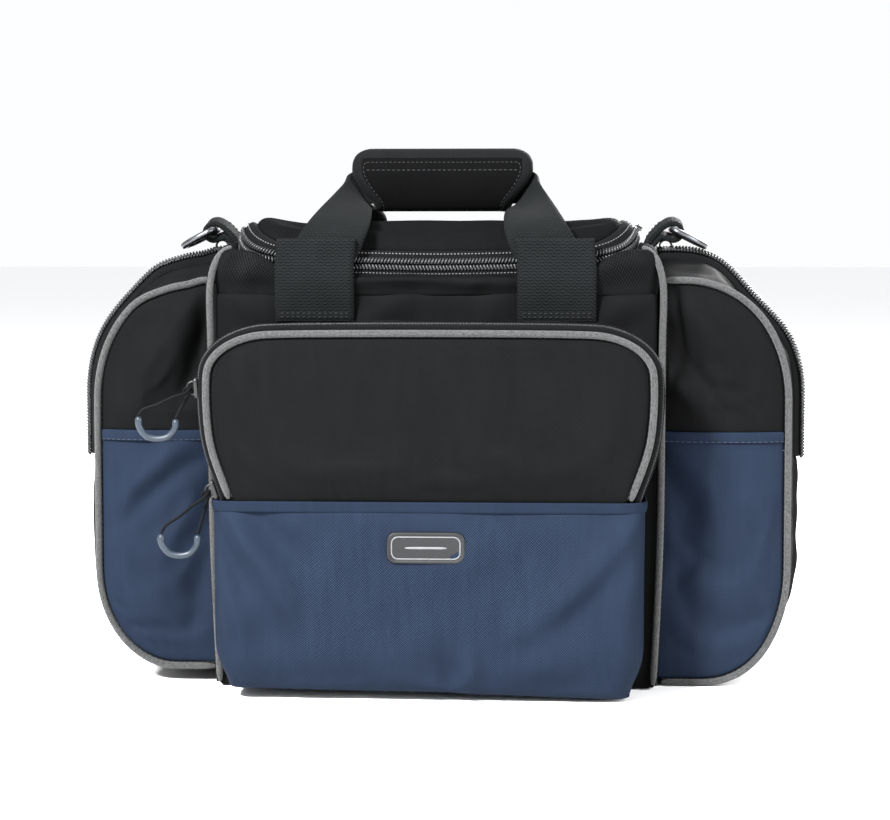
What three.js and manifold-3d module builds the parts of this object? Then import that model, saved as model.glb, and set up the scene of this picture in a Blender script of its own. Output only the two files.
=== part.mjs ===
// Flight bag: a soft box with a zipped lid, a zipped front pocket, two zipped end pockets,
// a pair of carrying handles with a split grip, and two shoulder-strap rings.
// Units are millimetres. +X is the bag's right, -Y its front, +Z up.
// The origin is the centre of the underside of the main compartment.
import * as THREE from 'three';
import { mergeVertices } from 'three/addons/utils/BufferGeometryUtils.js';
import Module from 'manifold-3d';

const wasm = await Module();
wasm.setup();

// ---- driving dimensions -------------------------------------------------
const GAP = 0.3; // clearance between two pieces that touch
const CLOTH = 2.5; // thickness of a lined fabric wall
const WALL = 3; // thickness of a foam-backed panel of the main compartment
const CORD = 2; // diameter of a pull cord
const PIPING = 4.5; // diameter of the piping
const WEBBING = 50; // width of the handle webbing
const STRAP = 2.5; // thickness of the handle webbing

const body = { halfWidth: 141, halfDepth: 85, height: 258 };
const collar = { top: 272, halfWidth: 131, halfDepth: 84, corner: 22, rearTop: 282.6 };
const lid = { halfWidth: 118, front: -73, rear: 78.5, base: 283.3, crown: 294, corner: 16 };
const chain = { halfWidth: 126, front: -80, height: 277, end: 60, corner: 20 };
const pocket = {
  front: -133, // rear face of the flap panel
  zip: -127, // plane of the zip's chain
  hem: 124,
  hemHalf: 125.5, // half width of the piping arch at the hem, the waist and the shoulder
  waist: 163,
  waistHalf: 137.5,
  shoulder: 203,
  shoulderHalf: 139.5,
  top: 229,
  cornerWidth: 41,
  lowerHalf: 132,
  lowerFront: -137,
  lowerCorner: 14,
  reach: 5.5, // from the piping arch to the outside of the zip
};
const end = {
  inner: 142, // where an end pocket meets the side wall
  outer: 221,
  depth: 67, // half depth of the gusset
  bottom: 7,
  top: 262,
  dome: 17, // how far the gusset bulges at its middle
  topCorner: [62, 77],
  bottomCorner: [50, 68],
  hem: 164,
  zipEnd: 143,
  tape: 8,
};
const grip = { halfLength: 60, bottom: 307, top: 348, halfDepth: 14, core: [312, 334] };
const handle = { legX: 77, sewnBottom: 236, sewnTop: 266, foldHeight: 292, faceY: 86.6 };
const ring = { x: 153.5, z: 294.5, halfWidth: 14, reach: 24, wire: 4.5, lean: 27 };
const badge = { halfWidth: 24.5, halfHeight: 10, corner: 6, centreZ: 97, thickness: 2 };
const slider = {
  length: 13,
  width: 9,
  plate: 3,
  bridge: 3.2,
  crown: 4.5, // half length of the bridge
  eye: 5.4,
  eyeRadius: 2.1,
  upperZ: 196, // the two sliders on the front pocket's left side
  lowerZ: 134,
  lidY: 46, // the slider on the right end of the lid's zip
  endX: 149, // the sliders on top of the end pockets
};
const upperPull = { tips: [[-34, -24], [-10.7, -25.6]], bottom: [-22, -38] };
const lowerPull = { tips: [[-30.5, -27], [-7.4, -27.4]], bottom: [-19, -40.5] };

// ---- materials ----------------------------------------------------------
function material(color, roughness, metalness = 0) {
  return new THREE.MeshStandardMaterial({ color, roughness, metalness });
}
const blackCloth = () => material(0x25272a, 0.85);
const navyCloth = () => material(0x33446a, 0.8);
const pipingCloth = () => material(0x85888a, 0.9);
const webbing = () => material(0x1b1d1f, 0.8);
const zipTape = () => material(0x0e0f11, 0.6);
const gripPad = () => material(0x1a1b1d, 0.75);
const darkMetal = () => material(0x3b3f45, 0.35, 0.9);
const softPlastic = () => material(0x42546b, 0.4);
const cordYarn = () => material(0x101113, 0.8);
const badgeRubber = () => material(0x15171a, 0.5);

// ---- solids -------------------------------------------------------------
const bag = new THREE.Group();

function welded(geometry) {
  const plain = geometry.index ? geometry.toNonIndexed() : geometry.clone();
  plain.deleteAttribute('normal');
  plain.deleteAttribute('uv');
  return mergeVertices(plain, 1e-4);
}

function add(name, geometry, look) {
  const mesh = new THREE.Mesh(geometry, look);
  mesh.name = name;
  bag.add(mesh);
  return mesh;
}

function toManifold(geometry) {
  const g = welded(geometry);
  const vertProperties = new Float32Array(g.attributes.position.array);
  const triVerts = new Uint32Array(g.index.array);
  return new wasm.Manifold(new wasm.Mesh({ numProp: 3, vertProperties, triVerts }));
}

function fromManifold(solid) {
  const mesh = solid.getMesh();
  const geometry = new THREE.BufferGeometry();
  geometry.setAttribute('position', new THREE.BufferAttribute(mesh.vertProperties, 3));
  geometry.setIndex(new THREE.BufferAttribute(mesh.triVerts, 1));
  return geometry;
}

function joined(a, b) {
  return fromManifold(toManifold(a).add(toManifold(b)));
}

// A closed solid from points and faces, turned so that its faces point outwards.
function solid(points, faces) {
  const volume = faces.reduce((sum, [a, b, c]) => {
    const cross = new THREE.Vector3().crossVectors(points[b], points[c]);
    return sum + points[a].dot(cross);
  }, 0);
  const index = volume > 0 ? faces.flat() : faces.map(([a, b, c]) => [a, c, b]).flat();
  const geometry = new THREE.BufferGeometry().setFromPoints(points);
  geometry.setIndex(index);
  return geometry;
}

// A lined sheet: two grids of points of the same size, joined round their rims.
function sheet(outer, inner) {
  const rows = outer.length;
  const columns = outer[0].length;
  const points = [...outer.flat(), ...inner.flat()];
  const at = (side, i, j) => side * rows * columns + i * columns + j;
  const faces = [];
  const quad = (a, b, c, d) => faces.push([a, b, c], [a, c, d]);
  for (let i = 0; i + 1 < rows; i += 1) {
    for (let j = 0; j + 1 < columns; j += 1) {
      quad(at(0, i, j), at(0, i + 1, j), at(0, i + 1, j + 1), at(0, i, j + 1));
      quad(at(1, i, j), at(1, i, j + 1), at(1, i + 1, j + 1), at(1, i + 1, j));
    }
    quad(at(0, i, 0), at(1, i, 0), at(1, i + 1, 0), at(0, i + 1, 0));
    const last = columns - 1;
    quad(at(0, i, last), at(0, i + 1, last), at(1, i + 1, last), at(1, i, last));
  }
  for (let j = 0; j + 1 < columns; j += 1) {
    quad(at(0, 0, j), at(0, 0, j + 1), at(1, 0, j + 1), at(1, 0, j));
    const last = rows - 1;
    quad(at(0, last, j), at(1, last, j), at(1, last, j + 1), at(0, last, j + 1));
  }
  return solid(points, faces);
}

// A solid through a row of loops; it is capped at both ends, or closes on its first loop.
function lofted(loops, closes) {
  const count = loops[0].length;
  const points = loops.flat();
  const faces = [];
  const steps = closes ? loops.length : loops.length - 1;
  for (let i = 0; i < steps; i += 1) {
    const next = (i + 1) % loops.length;
    for (let j = 0; j < count; j += 1) {
      const k = (j + 1) % count;
      const [a, b] = [i * count + j, i * count + k];
      const [c, d] = [next * count + k, next * count + j];
      faces.push([a, b, c], [a, c, d]);
    }
  }
  if (!closes) {
    for (const [i, flip] of [[0, true], [loops.length - 1, false]]) {
      const middle = new THREE.Vector3();
      loops[i].forEach((p) => middle.addScaledVector(p, 1 / count));
      points.push(middle);
      for (let j = 0; j < count; j += 1) {
        const [a, b] = [i * count + j, i * count + ((j + 1) % count)];
        faces.push(flip ? [b, a, points.length - 1] : [a, b, points.length - 1]);
      }
    }
  }
  return solid(points, faces);
}

// A flat plate: an outline in X and Z, extruded in Y from one face to the other.
function plate(outline, fromY, toY) {
  const shape = new THREE.Shape(outline.map(([x, z]) => new THREE.Vector2(x, z)));
  const flat = new THREE.ExtrudeGeometry(shape, { depth: toY - fromY, bevelEnabled: false });
  flat.rotateX(Math.PI / 2);
  flat.translate(0, toY, 0);
  return welded(flat);
}

function block(low, high) {
  const size = high.map((v, i) => v - low[i]);
  const box = new THREE.BoxGeometry(...size);
  box.translate(...high.map((v, i) => (v + low[i]) / 2));
  return welded(box);
}

function tube(points, diameter, sides, steps) {
  const path = new THREE.CatmullRomCurve3(points, false, 'centripetal');
  const section = new THREE.Shape();
  for (let i = 0; i < sides; i += 1) {
    const turn = ((i + 0.5) / sides) * 2 * Math.PI;
    const [u, v] = [(diameter / 2) * Math.cos(turn), (diameter / 2) * Math.sin(turn)];
    if (i) section.lineTo(u, v);
    else section.moveTo(u, v);
  }
  section.closePath();
  const options = { steps, extrudePath: path, bevelEnabled: false, curveSegments: 1 };
  return welded(new THREE.ExtrudeGeometry(section, options));
}

// Points on a quarter of an ellipse, from one angle to another, in degrees.
function arc(cx, cy, rx, ry, from, to, count) {
  const points = [];
  for (let i = 0; i <= count; i += 1) {
    const turn = THREE.MathUtils.degToRad(from + ((to - from) * i) / count);
    points.push([cx + rx * Math.cos(turn), cy + ry * Math.sin(turn)]);
  }
  return points;
}

const vector = (x, y, z) => new THREE.Vector3(x, y, z);

// ---- main compartment ---------------------------------------------------
// A closed rounded rectangle in plan.
function plan(halfWidth, front, rear, corner, height) {
  const z = typeof height === 'number' ? () => height : height;
  const [w, steps] = [halfWidth - corner, 5];
  const outline = [
    ...arc(w, rear - corner, corner, corner, 0, 90, steps),
    ...arc(-w, rear - corner, corner, corner, 90, 180, steps),
    ...arc(-w, front + corner, corner, corner, 180, 270, steps),
    ...arc(w, front + corner, corner, corner, 270, 360, steps),
  ];
  return outline.map(([x, y]) => vector(x, y, z(y)));
}

function mainCompartment() {
  const { halfWidth: w, halfDepth: d, height: h } = body;
  const panel = [[-w, 0], [w, 0], [w, h], [-w, h]];
  add('front_panel', plate(panel, -d, -d + WALL), blackCloth());
  add('rear_panel', plate(panel, d - WALL, d), blackCloth());
  const inside = d - WALL - GAP;
  for (const [name, side] of [['left_wall', -1], ['right_wall', 1]]) {
    const [a, b] = [side * w, side * (w - WALL)].sort((p, q) => p - q);
    add(name, block([a, -inside, 0], [b, inside, h]), blackCloth());
  }
  const floor = 4;
  const across = w - WALL - GAP;
  add('bottom_panel', block([-across, -inside, 0], [across, inside, floor]), blackCloth());
  const board = [across - 8, inside - 6, floor + GAP];
  add('base_board', block([-board[0], -board[1], board[2]], [board[0], board[1], board[2] + 3]),
    blackCloth());

  // The collar slopes in from the walls to the lid's zip, and rises behind to the lid's hinge.
  const { top, halfWidth: cw, halfDepth: cd, corner, rearTop } = collar;
  const rise = (y) => {
    const t = THREE.MathUtils.smoothstep(y, chain.end + 3, cd);
    return top + (rearTop - top) * t;
  };
  const loops = [
    plan(w, -d, d, 14, h + GAP),
    plan(cw, -cd, cd, corner, rise),
    plan(cw - WALL, -cd + WALL, cd - WALL, corner - WALL, rise),
    plan(w - WALL, -d + WALL, d - WALL, 14 - WALL, h + GAP),
  ];
  add('top_collar', lofted(loops, true), blackCloth());
}

// Piping up the front corners of the main compartment, leaning in with the collar.
function frontPiping() {
  const out = PIPING / 2 + GAP + 0.1;
  for (const [name, side] of [['front_piping_left', -1], ['front_piping_right', 1]]) {
    const x = body.halfWidth + out;
    const y = -body.halfDepth - out;
    const points = [[x, y, 3], [x, y, 90], [x, y, 180], [x, y, 236], [x - 3, y + 0.2, 256],
      [x - 9.5, y + 0.6, 273], [x - 12, y + 1.4, 281]];
    const path = points.map(([px, py, pz]) => vector(side * px, py, pz));
    add(name, tube(path, PIPING, 8, 18), pipingCloth());
  }
}

// ---- lid and its zip ----------------------------------------------------
// An open U in plan: up one side, across the front and back down the other side.
function zipPath(halfWidth, front, corner, height) {
  const w = halfWidth - corner;
  const outline = [
    [-halfWidth, chain.end],
    [-halfWidth, 0],
    ...arc(-w, front + corner, corner, corner, 180, 270, 5),
    ...arc(w, front + corner, corner, corner, 270, 360, 5),
    [halfWidth, 0],
    [halfWidth, chain.end],
  ];
  return outline.map(([x, y]) => vector(x, y, height));
}

function lidAndZip() {
  const { halfWidth: w, front: f, height: z, corner: r } = chain;
  const tape = 2;
  const outerLow = [w + 4.5, f - 3.5, r + 4.5, collar.top + GAP];
  const innerHigh = [lid.halfWidth + GAP, lid.front - GAP, lid.corner + GAP, lid.base - GAP];
  const shrunk = ([a, b, c, d]) => [a - tape, b + tape, c - tape, d];
  const chainLine = [w, f, r, z];
  add('lid_zip_outer', sheet(
    [zipPath(...outerLow), zipPath(...chainLine)],
    [zipPath(...shrunk(outerLow)), zipPath(...shrunk(chainLine))],
  ), zipTape());
  const lidLine = [w - 0.5, f + 0.5, r - 0.5, z + GAP];
  add('lid_zip_inner', sheet(
    [zipPath(...lidLine), zipPath(...innerHigh)],
    [zipPath(...shrunk(lidLine)), zipPath(...shrunk(innerHigh))],
  ), zipTape());

  const { halfWidth: lw, front: lf, rear: lr, base, crown, corner } = lid;
  const loops = [
    plan(lw, lf, lr, corner, base),
    plan(lw - 6, lf + 6, lr - 2, corner - 2, base + 3.2),
    plan(lw - 38, lf + 28, lr - 18, 14, crown - 2),
    plan(30, -15, 20, 12, crown),
  ];
  add('lid_panel', lofted(loops, false), blackCloth());
}

// ---- front pocket -------------------------------------------------------
// The arch of the pocket's front, from the left hem over the top to the right hem.
function arch(offset) {
  const { hem, hemHalf, waist, waistHalf, shoulder, shoulderHalf, top, cornerWidth } = pocket;
  const rise = top + offset - shoulder;
  const cx = shoulderHalf - cornerWidth;
  const right = [
    ...arc(cx, shoulder, cornerWidth + offset, rise, 90, 0, 6),
    [waistHalf + offset, waist],
    [hemHalf + offset, hem + GAP],
  ];
  const left = right.map(([x, z]) => [-x, z]).reverse();
  return [...left, ...right];
}

// A band that follows the arch between two planes.
function archBand(offset, thickness, fromY, toY) {
  const at = (d, y) => arch(d).map(([x, z]) => vector(x, y, z));
  return sheet(
    [at(offset, fromY), at(offset, toY)],
    [at(offset - thickness, fromY), at(offset - thickness, toY)],
  );
}

function frontPocket() {
  const { front, zip, hem, lowerHalf, lowerFront, lowerCorner: corner, reach } = pocket;
  const rear = -body.halfDepth - GAP;

  // lower part: front, sides and floor of one cloth
  const wrap = (w, y, r) => [
    [-w, rear],
    ...arc(-w + r, y + r, r, r, 180, 270, 5),
    ...arc(w - r, y + r, r, r, 270, 360, 5),
    [w, rear],
  ];
  const outer = wrap(lowerHalf, lowerFront, corner);
  const inner = wrap(lowerHalf - CLOTH, lowerFront + CLOTH, corner - CLOTH);
  const levels = (outline, low) => [low, hem].map((z) => outline.map(([x, y]) => vector(x, y, z)));
  const walls = sheet(levels(outer, 0), levels(inner, 0));
  const floorShape = new THREE.Shape(outer.map(([x, y]) => new THREE.Vector2(x, y)));
  const floor = new THREE.ExtrudeGeometry(floorShape, { depth: CLOTH, bevelEnabled: false });
  add('pocket_lower', joined(walls, floor), navyCloth());

  // gusset: starts inside the piping of the bag's corners and swells to the zip
  const stations = [[rear, -6], [rear - 6, -5.5], [rear - 15, 0], [zip + 6.3, 0]];
  const side = (thickness) => stations.map(([y, swell]) => (
    arch(reach + swell - thickness).map(([x, z]) => vector(x, y, z))
  ));
  add('pocket_gusset', sheet(side(0), side(CLOTH)), blackCloth());
  add('pocket_zip_outer', archBand(reach, 2, zip + 6, zip + GAP / 2), zipTape());

  // flap: everything in front of the chain turns down about the hem
  add('flap_zip', archBand(reach, 2, zip - GAP / 2, front + GAP), zipTape());
  add('flap_panel', plate(arch(-PIPING / 2 - GAP), front - CLOTH, front), blackCloth());
  const lip = PIPING / 2 + GAP;
  const pipe = arch(0.3).map(([x, z]) => vector(x, front - lip, z));
  pipe[0].z += 2;
  pipe[pipe.length - 1].z += 2;
  add('flap_piping', tube(pipe, PIPING, 8, 56), pipingCloth());

  // badge on the lower part
  const { halfWidth, halfHeight, corner: radius, centreZ, thickness } = badge;
  const face = new THREE.Shape(roundedOutline(halfWidth, halfHeight, radius, centreZ));
  const rubber = new THREE.ExtrudeGeometry(face, { depth: thickness, bevelEnabled: false });
  rubber.rotateX(Math.PI / 2);
  rubber.translate(0, lowerFront - GAP, 0);
  add('badge', welded(rubber), badgeRubber());
}

function roundedOutline(halfWidth, halfHeight, r, cz) {
  const [w, h] = [halfWidth - r, halfHeight - r];
  return [
    ...arc(w, cz + h, r, r, 0, 90, 4),
    ...arc(-w, cz + h, r, r, 90, 180, 4),
    ...arc(-w, cz - h, r, r, 180, 270, 4),
    ...arc(w, cz - h, r, r, 270, 360, 4),
  ].map(([x, z]) => new THREE.Vector2(x, z));
}

// ---- sliders and their pulls --------------------------------------------
// A slider on a chain along X, standing up in Z: a plate with a bridge and an eye.
function sliderBody() {
  const { length, width, plate: thick, bridge, crown: half, eye, eyeRadius } = slider;
  const base = block([-length / 2, -width / 2, 0], [length / 2, width / 2, thick]);
  const crown = new THREE.Shape();
  crown.moveTo(-half, thick - 0.5);
  crown.lineTo(half, thick - 0.5);
  arc(0, eye - 0.6, half, 4, 0, 180, 6).forEach(([x, z]) => crown.lineTo(x, z));
  crown.closePath();
  const hole = new THREE.Path();
  arc(0, eye, eyeRadius, eyeRadius, 0, 360, 8).slice(0, -1)
    .forEach(([x, z], i) => (i ? hole.lineTo(x, z) : hole.moveTo(x, z)));
  hole.closePath();
  crown.holes.push(hole);
  const loop = new THREE.ExtrudeGeometry(crown, { depth: bridge, bevelEnabled: false });
  loop.rotateX(Math.PI / 2);
  loop.translate(0, bridge / 2, 0);
  return joined(base, loop);
}

// Puts a geometry on the axes given, at a place.
function placed(geometry, along, across, up, at) {
  const matrix = new THREE.Matrix4().makeBasis(along, across, up).setPosition(at);
  return geometry.clone().applyMatrix4(matrix);
}

// A pull: a cord loop through the slider's eye, and a bent grip that joins its two ends.
// Its tips and its lowest point are given in X and Z from the eye.
function pull(name, eye, { tips, bottom }) {
  const [left, right] = tips.map(([x, z]) => vector(x, 0, z).add(eye));
  const low = vector(bottom[0], 0, bottom[1]).add(eye);
  const wire = 4.4;
  const { lerp } = THREE.MathUtils;
  const near = (tip) => vector(lerp(tip.x, low.x, 0.42), eye.y, lerp(tip.z, low.z, 0.88));
  const bend = new THREE.CatmullRomCurve3([
    left,
    vector(left.x + 0.4, eye.y, lerp(left.z, low.z, 0.45)),
    near(left),
    low,
    near(right),
    vector(right.x - 0.4, eye.y, lerp(right.z, low.z, 0.45)),
    right,
  ]);
  add(`${name}_grip`, tube(bend.getPoints(12), wire, 8, 14), softPlastic());

  const loop = 3.4; // half the width of the loop where it passes the eye
  const lift = GAP + 0.2;
  const drop = (tip, y, t, sag) => vector(
    lerp(eye.x, tip.x, t),
    lerp(y, 0, t) + eye.y,
    lerp(eye.z, tip.z + lift, t) - sag,
  );
  const path = [
    drop(left, 0, 1, 0),
    drop(left, -loop, 0.92, -2.2),
    drop(left, -loop, 0.62, -0.5),
    drop(left, -loop, 0.32, 0),
    drop(left, -loop, 0.08, 1.6),
    vector(eye.x, eye.y - 2, eye.z - 0.3),
    vector(eye.x, eye.y + 2, eye.z - 0.3),
    drop(right, loop, 0.14, 0.6),
    drop(right, loop, 0.5, 0),
    drop(right, loop, 0.82, 0),
    drop(right, 0, 1, 0),
  ];
  add(`${name}_cord`, tube(path, CORD, 8, 26), cordYarn());
}

// The pocket's left side between two heights, as a unit direction and a point on the chain.
function sidePoint(z) {
  const { hem, hemHalf, waist, waistHalf, shoulder, shoulderHalf } = pocket;
  const low = z < waist ? [hemHalf, hem] : [waistHalf, waist];
  const high = z < waist ? [waistHalf, waist] : [shoulderHalf, shoulder];
  const t = (z - low[1]) / (high[1] - low[1]);
  const along = vector(low[0] - high[0], 0, high[1] - low[1]).normalize();
  return { along, at: vector(-THREE.MathUtils.lerp(low[0], high[0], t), pocket.zip, z) };
}

const FRONT_TO_REAR = vector(0, 1, 0);

function pocketSliders() {
  const both = [['upper', slider.upperZ, upperPull], ['lower', slider.lowerZ, lowerPull]];
  for (const [name, z, shape] of both) {
    const { along, at } = sidePoint(z);
    const up = new THREE.Vector3().crossVectors(along, FRONT_TO_REAR);
    at.addScaledVector(up, pocket.reach + GAP + 0.2);
    add(`${name}_slider`, placed(sliderBody(), along, FRONT_TO_REAR, up, at), darkMetal());
    const eye = at.clone().addScaledVector(up, slider.eye);
    pull(`${name}_pull`, eye, shape);
  }
}

function lidSlider() {
  const up = vector(1, 0, 1).normalize();
  const across = new THREE.Vector3().crossVectors(up, FRONT_TO_REAR);
  const at = vector(chain.halfWidth, slider.lidY, chain.height).addScaledVector(up, 1.2);
  add('lid_slider', placed(sliderBody(), FRONT_TO_REAR, across, up, at), darkMetal());
}

function endSliders() {
  for (const [name, sign] of [['left_end_slider', -1], ['right_end_slider', 1]]) {
    const at = vector(sign * slider.endX, 0, end.top + end.dome + GAP + 0.3);
    add(name, placed(sliderBody(), vector(1, 0, 0), FRONT_TO_REAR, vector(0, 0, 1), at), darkMetal());
  }
}

// ---- handles ------------------------------------------------------------
// The webbing of one handle: out of its sewn legs, over the fold and through the grip.
// sign is -1 for the front handle and 1 for the rear one.
function handleWebbing(name, sign) {
  const { legX, sewnTop, foldHeight, faceY } = handle;
  const half = WEBBING / 2;
  const [coreLow, coreHigh] = grip.core;
  const coreY = 3;
  // each station: outer edge x and z, inner edge x and z, distance from the middle of the bag
  const leg = [
    [legX + half, sewnTop + GAP, legX - half, sewnTop + GAP, faceY],
    [legX + half, 284, legX - half, 284, faceY + 2],
    [legX + half - 1, foldHeight + 0.5, legX - half, foldHeight, faceY + 1.4],
    [legX + half - 5, foldHeight + 6, legX - half, foldHeight + 5.5, faceY - 6],
    [legX + 14, 309, legX - 27, 306.5, 58],
    [grip.halfLength + 11, 318, 54, 310, 32],
    [grip.halfLength + 4, coreHigh - 4, 53.5, coreLow - 2, 12],
    [grip.halfLength + 1.3, coreHigh - 1, 50.8, coreLow - 0.4, coreY + 0.8],
    [grip.halfLength - 8, coreHigh, 44, coreLow, coreY],
    [25, coreHigh, 25, coreLow, coreY],
  ];
  const full = [
    ...leg.map(([ox, oz, ix, iz, y]) => [-ox, oz, -ix, iz, y]),
    ...[...leg].reverse(),
  ];
  const edges = full.map(([ox, oz, ix, iz, y]) => [
    vector(ox, sign * y, oz),
    vector((ox + ix) / 2, sign * y, (oz + iz) / 2),
    vector(ix, sign * y, iz),
  ]);
  // the thickness is laid across the strip's own face
  const outer = [];
  const inner = [];
  edges.forEach((row, i) => {
    const before = edges[Math.max(i - 1, 0)][1];
    const after = edges[Math.min(i + 1, edges.length - 1)][1];
    const along = after.clone().sub(before).normalize();
    const across = row[2].clone().sub(row[0]).normalize();
    const face = new THREE.Vector3().crossVectors(along, across).normalize();
    outer.push(row.map((p) => p.clone().addScaledVector(face, STRAP / 2)));
    inner.push(row.map((p) => p.clone().addScaledVector(face, -STRAP / 2)));
  });
  add(name, sheet(outer, inner), webbing());
}

// Half of the grip: a C in section, open towards the other half, with rounded ends.
function gripHalf(name, sign) {
  const { halfLength, bottom, top, halfDepth, core } = grip;
  const stations = [
    [-halfLength, 7], [-halfLength + 3, 3.5], [-halfLength + 8, 1], [-halfLength + 15, 0],
    [halfLength - 15, 0], [halfLength - 8, 1], [halfLength - 3, 3.5], [halfLength, 7],
  ];
  const [coreLow, coreHigh] = [core[0] - 2.2, core[1] + 1.2];
  const coreDepth = 7.2;
  // the ends slant in towards the underside, where the webbing comes out
  const middle = (bottom + top) / 2;
  const taper = (z) => 1 - 0.27 * THREE.MathUtils.clamp((middle + 3.5 - z) / 18, 0, 1);
  const loops = stations.map(([x, inset]) => {
    const [low, high] = [bottom + inset * 0.2, top - inset];
    const [rz, ry] = [(high - low) / 2, halfDepth - inset * 0.3];
    const round = arc(0, (low + high) / 2, ry, rz, 90, -90, 8);
    const notch = [[0, coreLow], [coreDepth, coreLow], [coreDepth, coreHigh], [0, coreHigh]];
    return [...round, ...notch].map(([y, z]) => vector(x * taper(z), sign * (y + GAP / 2), z));
  });
  add(name, lofted(loops, false), gripPad());
}

function sewnStrap(name, sideX, sideY) {
  const { legX, sewnBottom, sewnTop, faceY } = handle;
  const [x, y] = [sideX * legX, sideY * faceY];
  const low = [x - WEBBING / 2, y - STRAP / 2, sewnBottom];
  const high = [x + WEBBING / 2, y + STRAP / 2, sewnTop];
  add(name, block(low, high), webbing());
}

function handles() {
  for (const [name, sign] of [['front', -1], ['rear', 1]]) {
    handleWebbing(`${name}_handle_webbing`, sign);
    gripHalf(`${name}_grip`, sign);
    sewnStrap(`${name}_strap_left`, -1, sign);
    sewnStrap(`${name}_strap_right`, 1, sign);
  }
}

// ---- shoulder-strap rings -----------------------------------------------
// A tab of webbing that rises from the collar and wraps the straight bar of a D-ring.
function ringAndTab(name, side) {
  const { x, z, halfWidth, reach, wire, lean } = ring;
  const [bore, wrap, half] = [wire / 2 + 0.6, wire / 2 + 3.2, 9.5];
  const outline = [
    [137.7, 263.6], [140, 265.6], [138.6, 277], [141.5, 286.5], [x - 4.2, z - wrap + 1],
    ...arc(x, z, wrap, wrap, -100, 150, 10),
    [139.5, 292], [134.9, 279], [134.7, 268.6],
  ];
  const shape = new THREE.Shape(outline.map(([px, pz]) => new THREE.Vector2(side * px, pz)));
  const hole = new THREE.Path();
  arc(side * x, z, bore, bore, 0, 360, 10).slice(0, -1)
    .forEach(([px, pz], i) => (i ? hole.lineTo(px, pz) : hole.moveTo(px, pz)));
  hole.closePath();
  shape.holes.push(hole);
  const tab = new THREE.ExtrudeGeometry(shape, { depth: 2 * half, bevelEnabled: false });
  tab.rotateX(Math.PI / 2);
  tab.translate(0, half, 0);
  add(`${name}_ring_tab`, welded(tab), webbing());

  const tilt = THREE.MathUtils.degToRad(lean);
  const out = vector(side * Math.cos(tilt), 0, -Math.sin(tilt));
  const bar = vector(side * x, 0, z);
  const place = (y, r) => bar.clone().addScaledVector(out, r).setY(y);
  const bow = arc(7, 0, reach - 7, halfWidth, -90, 90, 8).map(([r, y]) => place(y, r));
  const path = [
    place(halfWidth - 2.5, 0), place(0, 0), place(-halfWidth + 2.5, 0), place(-halfWidth, 2.5),
    ...bow,
    place(halfWidth, 2.5),
  ];
  const curve = new THREE.CatmullRomCurve3(path, true, 'centripetal');
  add(`${name}_d_ring`, welded(new THREE.TubeGeometry(curve, 40, wire / 2, 8, true)), darkMetal());
}

// ---- end pockets --------------------------------------------------------
// The outline of an end pocket seen from the front, grown by an offset, in two stretches.
function upperOutline(offset, low) {
  const { inner, outer, top, topCorner: [rx, rz] } = end;
  return [
    [inner, top + offset],
    ...arc(outer - rx, top - rz, rx + offset, rz + offset, 90, 0, 7),
    [outer + offset, low],
  ];
}

function lowerOutline(offset, high) {
  const { inner, outer, bottom, bottomCorner: [rx, rz] } = end;
  const base = bottom - (offset > 0 ? 0.35 * offset : offset);
  const centre = bottom + rz;
  return [
    [outer + offset, high],
    ...arc(outer - rx, centre, rx + offset, centre - base, 0, -90, 7),
    [inner, base],
  ];
}

// The bulge of the gusset at a distance from its middle.
function dome(y) {
  return end.dome * (1 - Math.min(Math.abs(y) / end.depth, 1) ** 2.2);
}

function gusset(side, outline, layers) {
  const grid = (thickness) => layers.map((y) => (
    outline(dome(y) - thickness).map(([x, z]) => vector(side * x, y, z))
  ));
  return sheet(grid(0), grid(CLOTH));
}

function endPocket(name, side) {
  const { inner, depth, hem, zipEnd, tape } = end;
  const mirrored = (outline) => outline.map(([x, z]) => [side * x, z]);
  const inset = -WALL;

  // front: a dark upper panel and a navy lower one, inside the piping
  const upper = [[inner, hem + GAP], ...upperOutline(inset, hem + GAP)];
  const lower = [...lowerOutline(inset, hem), [inner, hem]];
  add(`${name}_pocket_front_upper`, plate(mirrored(upper), -depth - WALL, -depth), blackCloth());
  add(`${name}_pocket_front_lower`, plate(mirrored(lower), -depth - WALL, -depth), navyCloth());
  const pipe = [...upperOutline(0, 150), ...lowerOutline(0, 100)];
  pipe[0][0] += 3;
  pipe[pipe.length - 1][0] += 3;
  const path = pipe.map(([x, z]) => vector(side * x, -depth - PIPING / 2 - GAP, z));
  add(`${name}_pocket_piping`, tube(path, PIPING, 8, 52), pipingCloth());

  // the front half of the gusset runs all the way round
  const whole = (offset) => [...upperOutline(offset, zipEnd), ...lowerOutline(offset, 112)];
  const frontLayers = [-depth + GAP, -55, -38, -20, -tape - GAP];
  add(`${name}_pocket_gusset`, gusset(side, whole, frontLayers), blackCloth());

  // the rear opens as a leaf above the end of the zip; below it the cloth is one piece
  const opening = (offset) => upperOutline(offset, zipEnd + GAP);
  const closed = (offset) => lowerOutline(offset, zipEnd);
  const rearLayers = [tape + GAP, 20, 38, 55, depth - GAP];
  add(`${name}_leaf_gusset`, gusset(side, opening, rearLayers), blackCloth());
  const leaf = [[inner + 0.5, zipEnd + GAP], ...upperOutline(0, zipEnd + GAP)];
  leaf[1][0] += 0.5;
  add(`${name}_leaf_panel`, plate(mirrored(leaf), depth, depth + WALL), blackCloth());
  const lowLayers = [-tape, 0, tape, 20, 38, 55, depth + 1];
  const lowPanel = plate(mirrored([...closed(0), [inner, zipEnd]]), depth, depth + WALL);
  add(`${name}_pocket_rear_lower`, joined(gusset(side, closed, lowLayers), lowPanel), navyCloth());

  // the two halves of the zip
  add(`${name}_zip_fixed`, gusset(side, opening, [-tape, -GAP / 2]), zipTape());
  add(`${name}_zip_leaf`, gusset(side, opening, [GAP / 2, tape]), zipTape());
}

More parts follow.
